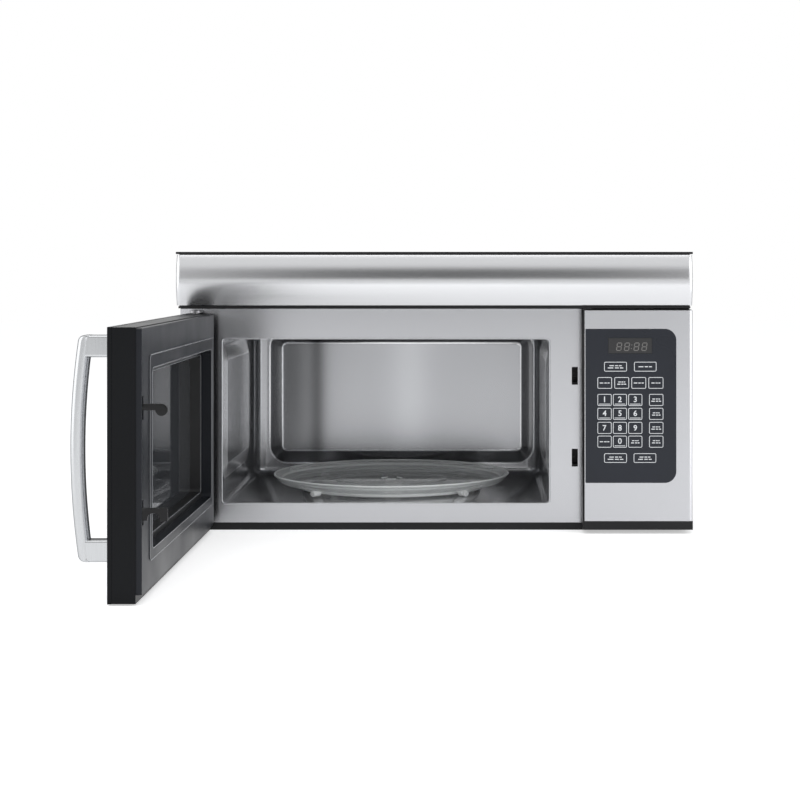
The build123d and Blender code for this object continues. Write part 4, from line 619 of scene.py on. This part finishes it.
def pressed(along, height, start, end, low, high):
    # depth of a pressed panel: with q the distance inside its rounded outline, a ramp from 0 at q = 0 to the
    # full depth at q = slope, both shoulders rounded by the square root of q squared plus softness squared; and
    # how far each point is on the ramp, for its painted shade or light, or on one of its two shoulders, for a
    # painted highlight
    corner, soft, slope = oven["panelCorner"], oven["pressSoft"], oven["pressSlope"]
    a = np.abs(along - (start + end) / 2) - (end - start) / 2 + corner
    b = np.abs(height - (low + high) / 2) - (high - low) / 2 + corner
    q = corner - np.hypot(np.maximum(a, 0), np.maximum(b, 0)) - np.minimum(np.maximum(a, b), 0)
    rise = (np.hypot(q, soft) + q - np.hypot(q - slope, soft) - (q - slope)) / (2 * slope)
    edge, blend = oven["rampEdge"], oven["rampBlend"]
    ramp = 1 / (1 + np.exp(-(q - edge) / blend)) / (1 + np.exp((q - slope + edge) / blend))
    lipHighlights = np.exp(-(q / oven["lip"]) ** 2) + np.exp(-((q - slope) / oven["lip"]) ** 2)
    return oven["pressDepth"] * rise, ramp, lipHighlights


def buildOven():
    # plan path with heading from the straight and turned lengths walked so far; each wall point is the path
    # point plus the inward normal times (floor and ceiling rounding plus pressed depth)
    radius, foot, low, high = oven["rearCorner"], oven["floorCorner"], oven["floor"], oven["ceiling"]
    side = oven["back"] - radius - oven["front"]
    rear = oven["right"] - oven["left"] - 2 * radius
    arc = np.pi / 2 * radius
    total = 2 * side + rear + 2 * arc
    sideFront, sideBack, sideLow, sideHigh = oven["sidePanel"]
    rearLeft, rearRight, rearLow, rearHigh = oven["rearPanel"]
    sideStart, sideEnd = sideFront - (oven["front"] - frontY), side + radius - sideBack
    rearStart, rearEnd = side + arc + rearLeft - radius, total - side - arc - (rearRight - radius)
    panels = [(sideStart, sideEnd, low + sideLow, high - sideHigh),
              (rearStart, rearEnd, low + rearLow, high - rearHigh),
              (total - sideEnd, total - sideStart, low + sideLow, high - sideHigh)]
    # sample places: even ones, and close ones over each panel's ramp
    near = np.concatenate([np.linspace(-0.005, 0.005, 15), np.linspace(0.0065, 0.0135, 5),
                           np.linspace(0.015, 0.025, 15)])
    walked = np.concatenate([np.linspace(0, total, 150), np.linspace(side, side + arc, 20),
                             np.linspace(total - side - arc, total - side, 20)]
                            + [start + near for start, *_ in panels] + [end - near for _, end, *_ in panels])
    walked = np.unique(np.round(np.clip(walked, 0, total), 5))
    between = np.concatenate([np.linspace(low + foot, high - foot, 40)]
                             + [bottom + near for _, _, bottom, _ in panels]
                             + [top - near for *_, top in panels])
    between = np.unique(np.round(between[(between > low + foot) & (between < high - foot)], 5))
    turned = np.linspace(0, np.pi / 2, 9)
    rise, inset = foot * (1 - np.cos(turned)), foot * (1 - np.sin(turned))
    height = np.concatenate([low + rise, between, high - rise[::-1]])[:, None]
    inset = np.concatenate([inset, np.zeros(len(between)), inset[::-1]])[:, None]
    first = np.clip(walked, 0, side)
    turn1 = np.clip(walked - side, 0, arc) / radius
    second = np.clip(walked - side - arc, 0, rear)
    turn2 = np.clip(walked - side - arc - rear, 0, arc) / radius
    third = np.clip(walked - side - 2 * arc - rear, 0, side)
    x = oven["left"] + radius * (1 - np.cos(turn1)) + second + radius * np.sin(turn2)
    y = oven["front"] + first + radius * np.sin(turn1) - radius * (1 - np.cos(turn2)) - third
    heading = np.pi / 2 - turn1 - turn2
    depths, ramps, lipHighlights = zip(*(pressed(walked[None], height, *panel) for panel in panels))
    shaded = sum(shade * ramp for shade, ramp in zip(oven["rampShade"], ramps))
    inward = inset + sum(depths)
    points = frontPlace(x + np.sin(heading) * inward, y - np.cos(heading) * inward, height)
    uv = np.stack(np.broadcast_arrays(walked[None] - total / 2, height), -1)
    walls = addPiece("ovenWalls", points, gridFaces(*inward.shape), "oven_stainless", "cabinet",
                     ("oven_cavity",), 60.0, uv, fixNormals=False, weighted=False)
    # painted shade and light on the panel ramps and a painted highlight on their shoulders, one number a vertex
    pointValues(walls, "drawn", 1 - shaded + oven["lipShine"] * sum(lipHighlights))
    thicken(walls, oven["sheet"])
    for name, row in (("ovenFloor", points[0]), ("ovenCeiling", points[-1])):
        sheet = addPiece(name, row, [list(range(len(walked)))], "floorSteel", "cabinet", (), 60.0, row[:, :2],
                         fixNormals=False, flip=name == "ovenFloor", weighted=False)
        thicken(sheet, oven["sheet"])


buildOven()
print("visor and oven ready")

# The handle: a bowed bar with a rounded section, its two ends turned back onto the door by one post each.
handle = {"middle": 0.558, "low": 0.046, "high": 0.3125, "reachEnd": 0.040, "reachMiddle": 0.050,
          "thick": 0.016, "wide": 0.022, "post": 0.026, "round": 0.0076, "postRound": 0.0032,
          "endRound": 0.007, "edgeRound": 0.0022, "rows": 140, "postRows": 8}


def sweptBar(depth, height, halfThick, halfWide, radius, middle, perCorner=7):
    # a rounded rectangle carried along a path in the door's depth-height plane; each corner point is the
    # corner's centre plus radius (cos a, sin a); the sections are level on the bar and upright on a post
    path = np.stack([depth, height], -1)
    upright = np.ptp(height) > np.ptp(depth)
    normal = np.array([[-1.0, 0.0]] if upright else [[0.0, 1.0]])
    angle = cornerTurns(perCorner)
    sideSign = np.repeat([1.0, -1.0, -1.0, 1.0], perCorner + 1)[None]
    outSign = np.repeat([1.0, 1.0, -1.0, -1.0], perCorner + 1)[None]
    thick, wide = (np.broadcast_to(size, len(path))[:, None] for size in (halfThick, halfWide))
    r = np.minimum(radius, 0.97 * np.minimum(thick, wide))
    across = sideSign * (wide - r) + r * np.cos(angle)
    out = outSign * (thick - r) + r * np.sin(angle)
    points = doorPlace(middle + across, path[:, :1] + normal[:, :1] * out, path[:, 1:] + normal[:, 1:] * out)
    return points, gridFaces(*out.shape, closeColumns=True) + endFaces(*out.shape)


def buildHandle():
    # outer edge = end reach + extra times (1 - position squared); its corners are cut by a quarter circle
    low, high, thick, wide = handle["low"], handle["high"], handle["thick"], handle["wide"]
    middle, half = (low + high) / 2, (high - low) / 2
    height = middle - half * np.cos(np.linspace(0, np.pi, handle["rows"]))
    extra = handle["reachMiddle"] - handle["reachEnd"]
    bow = handle["reachEnd"] + extra * (1 - ((height - middle) / half) ** 2)
    fromEnd = half - np.abs(height - middle)
    cut, ease = (radius - np.sqrt(np.clip(radius ** 2 - np.clip(radius - fromEnd, 0, None) ** 2, 0, None))
                 for radius in (handle["endRound"], handle["edgeRound"]))
    outer, inner = bow - cut, bow - thick
    parts = [sweptBar(-(outer + inner) / 2, height, (outer - inner) / 2 - ease * 0.6, wide / 2 - ease,
                      handle["round"], handle["middle"])]
    for postMiddle in (low + handle["post"] / 2, high - handle["post"] / 2):
        steps = np.linspace(0, handle["reachEnd"] - thick * 0.45, handle["postRows"])
        parts.append(sweptBar(-steps, np.full(len(steps), postMiddle), handle["post"] / 2, wide / 2 - 0.0006,
                              handle["postRound"], handle["middle"]))
    addPiece("handleBow", *joined(parts), "handle_silver", "door", ("door_handle",), 50.0)


buildHandle()

# The glass tray: a disc with a raised, flared rim and a low foot; three raised marks lie round its middle.
tray = {"x": -0.0734, "y": -0.2075, "bottom": -0.1574, "thick": 0.0045, "radius": 0.188, "foot": 0.174,
        "rim": 0.015, "hole": 0.004, "step": 0.085, "stepDeep": 0.0008, "segments": 144, "rimBright": 0.0016,
        "footBright": 0.0022, "hub": 0.014, "hubTurn": 0.5, "hubLong": 0.016, "hubWide": 0.005,
        "hubTall": 0.0011, "hubBevel": 0.001}


def buildTray():
    # profile of radius, height and softness from the middle of the top out over the rim and back along the
    # bottom, spun about the middle: a point is the middle less radius times (cos a, sin a)
    thick, outer, foot, rim = tray["thick"], tray["radius"], tray["foot"], tray["rim"]
    inner, step, lower = tray["hole"], tray["step"], thick - tray["stepDeep"]
    profile = softLine([(inner, thick, 0), (step, thick, 0.002), (step + 0.005, lower, 0.002),
                        (foot - 0.005, lower, 0.008), (outer - 0.0045, rim - 0.001, 0.002),
                        (outer - 0.0018, rim, 0.0016), (outer, rim - 0.0022, 0.002),
                        (foot + 0.0015, 0, 0.006), (inner, 0, 0)])
    walked = np.concatenate([[0], np.cumsum(np.hypot(*np.diff(profile, axis=0).T))])
    even = np.unique(np.concatenate([walked, np.linspace(0, walked[-1], 180)]))
    radius, height = (np.interp(even, walked, profile[:, k])[:, None] for k in (0, 1))
    angle = np.linspace(0, 2 * np.pi, tray["segments"], endpoint=False)[None]
    across, back = tray["x"] - radius * np.cos(angle), tray["y"] - radius * np.sin(angle)
    points = np.stack(np.broadcast_arrays(across, back, tray["bottom"] + height), -1)
    size = points.shape[:2]
    glass = addPiece("trayGlass", points, gridFaces(*size, closeColumns=True) + endFaces(*size), "tray_glass",
                     "turntable", ("glass_tray",), 60.0)
    glass.visible_shadow = False        # light falls through the clear glass
    # painted highlight: the rim's top and the foot's ring are drawn lighter and more opaque
    bright = np.maximum(np.exp(-((height - rim) / tray["rimBright"]) ** 2),
                        0.8 * np.exp(-((radius - foot) / tray["footBright"]) ** 2))
    pointValues(glass, "rim", np.repeat(bright, size[1]))
    long, wide, bevel = tray["hubLong"] / 2, tray["hubWide"] / 2, tray["hubBevel"]
    rings = [[-long + cut, long - cut, -wide + cut, wide - cut, 0.0024 - cut] for cut in (0, bevel)]
    x, z = roundedRings(rings, 5)
    lift = np.array([[0.0], [tray["hubTall"]]]) * np.ones_like(x)
    marks = []
    for turn in tray["hubTurn"] + np.arange(3) * 2 * np.pi / 3:
        px = tray["x"] + np.cos(turn) * tray["hub"] - np.sin(turn) * x - np.cos(turn) * z
        py = tray["y"] + np.sin(turn) * tray["hub"] + np.cos(turn) * x - np.sin(turn) * z
        marks.append((np.stack([px, py, tray["bottom"] + thick - 0.0001 + lift], -1),
                      gridFaces(*x.shape, closeColumns=True) + endFaces(*x.shape)))
    hub = addPiece("trayHubMarks", *joined(marks), "tray_glass", "turntable", (), 50.0, weighted=False)
    # the marks carry the same painted highlight all over
    pointValues(hub, "rim", np.ones(len(hub.data.vertices)))


buildTray()
print("handle and tray ready")

# The door's inner side: thin beads along the raised panel, the window and its inner step, in a light grey
# that is a painted highlight. Each outline holds its start and end along the door, lower and upper edge, corner
# radius and depth.
beads = {"radius": 0.0005, "outlines": ((0.043, 0.547, 0.044, 0.288, 0.0090, 0.0410),
                                        (0.055, 0.532, 0.056, 0.272, 0.0090, 0.0410),
                                        (0.063, 0.524, 0.064, 0.264, 0.0070, 0.0265))}


def beadRings(start, end, low, high, corner, radius, steps, perCorner):
    # rings round an outline grown by radius cos a, and how far each stands out in shares of the radius, sin a
    angle = np.linspace(0, np.pi, steps)
    grow = radius * np.cos(angle)
    rows = np.stack([start - grow, end + grow, low - grow, high + grow, corner + grow], -1)
    x, z = roundedRings(rows, perCorner)
    return x, z, np.sin(angle)[:, None] * np.ones_like(x)


def buildBeads():
    # depth of a bead's point = the outline's depth plus six tenths of radius sin a
    parts = []
    for *outline, depth in beads["outlines"]:
        along, height, out = beadRings(*outline, beads["radius"], 7, 6)
        parts.append((doorPlace(along, depth + beads["radius"] * 0.6 * out, height),
                      gridFaces(*along.shape, closeRows=True, closeColumns=True)))
    addPiece("windowBeads", *joined(parts), "chokeEdge", "door", (), 80.0, weighted=False)


buildBeads()

# The keypad: printed outlines, numbers and plain dashes in place of words. A key holds x0, x1, bottom, top.
keypad = {"face": -0.44264, "line": 0.00085, "corner": 0.0022, "digitTall": 0.0083, "digitBold": 0.014,
          "dash": 0.00125, "breaks": ((-1.0, -0.28), (-0.08, 0.42), (0.56, 1.0)), "oneLine": (1, 2, 4, 5, 12),
          "underlined": "1234560"}
digitColumns = [(0.2394, 0.2601), (0.2621, 0.2825), (0.2846, 0.3051), (0.3152, 0.3360)]
digitRows = [(top - 0.0173, top) for top in (0.2054, 0.1850, 0.1644, 0.1442)]
wordKeys = [(0.2492, 0.2825, 0.2385, 0.2526), (0.2931, 0.3259, 0.2385, 0.2526),
            (0.2394, 0.2606, 0.2133, 0.2301), (0.2642, 0.2857, 0.2133, 0.2301),
            (0.2892, 0.3107, 0.2133, 0.2301), (0.3142, 0.3360, 0.2133, 0.2301),
            (0.2492, 0.2825, 0.1046, 0.1184), (0.2925, 0.3255, 0.1046, 0.1184)]
wordKeys += [(*digitColumns[3], *row) for row in digitRows]
wordKeys += [(*digitColumns[column], *digitRows[3]) for column in (0, 2)]
numberKeys = [(*digitColumns[n % 3], *digitRows[n // 3], str(n + 1)) for n in range(9)]
numberKeys.append((*digitColumns[1], *digitRows[3], "0"))


def flatShape(x, height, y):
    # one flat face from an outline
    return frontPlace(np.asarray(x, float), y, np.asarray(height, float)), [list(range(len(x)))]


def keyOutlines(keys):
    # two rounded rings, one line width apart, joined by quads
    keys = np.array(keys, float)
    corner = np.full(len(keys), keypad["corner"])
    outerX, outerZ = roundedRings(np.c_[keys, corner])
    inner = keys + np.array([1, -1, 1, -1]) * keypad["line"]
    innerX, innerZ = roundedRings(np.c_[inner, corner - keypad["line"]])
    faces = gridFaces(2, outerX.shape[1], closeColumns=True)
    return [(frontPlace(np.stack([ox, ix]), keypad["face"], np.stack([oz, iz])), faces)
            for ox, oz, ix, iz in zip(outerX, outerZ, innerX, innerZ)]


def numberShape(text, x, height):
    # a number of the built-in font, made a mesh, scaled and laid on the panel
    curve = bpy.data.curves.new("number" + text, "FONT")
    curve.body = text
    curve.align_x = "CENTER"
    curve.offset = keypad["digitBold"]
    holder = bpy.data.objects.new("number" + text, curve)
    mesh = bpy.data.meshes.new_from_object(holder)
    flat = np.zeros(len(mesh.vertices) * 3)
    mesh.vertices.foreach_get("co", flat)
    flat = flat.reshape(-1, 3)
    faces = [list(polygon.vertices) for polygon in mesh.polygons]
    low, high = flat.min(0), flat.max(0)
    scale = keypad["digitTall"] / (high[1] - low[1])
    middle = (high[0] + low[0]) / 2
    points = frontPlace(x + (flat[:, 0] - middle) * scale, keypad["face"],
                        height + (flat[:, 1] - low[1]) * scale)
    bpy.data.objects.remove(holder)
    bpy.data.curves.remove(curve)
    bpy.data.meshes.remove(mesh)
    return points, faces


def dashShape(x0, x1, height, thick):
    return flatShape([x0, x1, x1, x0], [height, height, height + thick, height + thick], keypad["face"])


def addPrint(name, parts, finish):
    # flat marks on the panel, all turned to look to the front
    piece = addPiece(name, *joined(parts), finish, "cabinet", (), 30.0, fixNormals=False, weighted=False)
    work = bmesh.new()
    work.from_mesh(piece.data)
    bmesh.ops.reverse_faces(work, faces=[face for face in work.faces if face.normal.y > 0])
    work.to_mesh(piece.data)
    work.free()


def buildKeypad():
    dash = keypad["dash"]
    parts = keyOutlines([key[:4] for key in wordKeys + numberKeys])
    for n, (x0, x1, low, high) in enumerate(wordKeys):      # one or two rows of dashes stand for a label
        middle, half = (x0 + x1) / 2, (x1 - x0) * (0.30 if n % 2 else 0.34)
        for row, share in ((-0.6, 1.0),) if n in keypad["oneLine"] else ((0.6, 0.8), (-2.0, 1.0)):
            height, reach = (low + high) / 2 + row * dash, half * share
            parts += [dashShape(middle + start * reach, middle + end * reach, height, dash * 1.05)
                      for start, end in keypad["breaks"]]
    for x0, x1, low, high, text in numberKeys:
        under = text in keypad["underlined"]
        parts.append(numberShape(text, (x0 + x1) / 2, low + (0.0054 if under else 0.0045)))
        if under:
            parts.append(dashShape(x0 + 0.0024, x1 - 0.0024, low + 0.0021, 0.0009))
    addPrint("keypadPrint", parts, "keypadInk")


buildKeypad()

# The display: four slanted seven-segment figures and a colon, in a dim grey.
display = {"face": -0.44256, "columns": (0.2712, 0.2826, 0.2967, 0.3083), "colon": 0.2894, "middle": 0.2748,
           "colonHalf": 0.0026, "wide": 0.0078, "tall": 0.0124, "line": 0.0013, "gap": 0.00025, "slant": 0.14}


def buildDisplay():
    # each segment is a six-cornered bar; the slant shifts each point sideways by a share of its height
    w, t, line, gap = display["wide"] / 2, display["tall"] / 2, display["line"] / 2, display["gap"]
    level = [(-w + line + gap, w - line - gap, y) for y in (t - line, 0, -t + line)]
    upright = [(low, high, x) for x in (-w + line, w - line)
               for low, high in ((gap, t - line - gap), (-t + line + gap, -gap))]

    def segment(a, b, c):
        # the places along and across a bar from a to b about the line c
        return [a, a + line, b - line, b, b - line, a + line], [c, c + line, c + line, c, c - line, c - line]

    shapes = [segment(*bar) for bar in level] + [segment(*bar)[::-1] for bar in upright]
    parts = []
    for column in display["columns"]:
        for x, y in np.array(shapes):
            parts.append(flatShape(column + x + display["slant"] * y, display["middle"] + y, display["face"]))
    for y in (-display["colonHalf"], display["colonHalf"]):
        x = display["colon"] + display["slant"] * y
        parts.append(flatShape([x - line, x + line, x + line, x - line],
                               display["middle"] + y + np.array([-line, -line, line, line]), display["face"]))
    addPrint("displayFigures", parts, "displayInk")


buildDisplay()

# The rolled rim of the oven's mouth: a small half-round bead along the rounded opening.
rim = {"corner": 0.0045, "bead": 0.0011, "y": -0.3999}


def buildRim():
    # place of a bead's point = the front plane less 0.55 of radius sin a
    opening = (oven["left"], oven["right"], oven["floor"], oven["ceiling"], rim["corner"])
    x, z, out = beadRings(*opening, rim["bead"], 9, 8)
    points = frontPlace(x, rim["y"] - rim["bead"] * 0.55 * out, z)
    addPiece("mouthRim", points, gridFaces(*x.shape, closeRows=True, closeColumns=True), "brushed_stainless",
             "cabinet", (), 80.0, weighted=False)


buildRim()
print("keypad, display and rim ready")
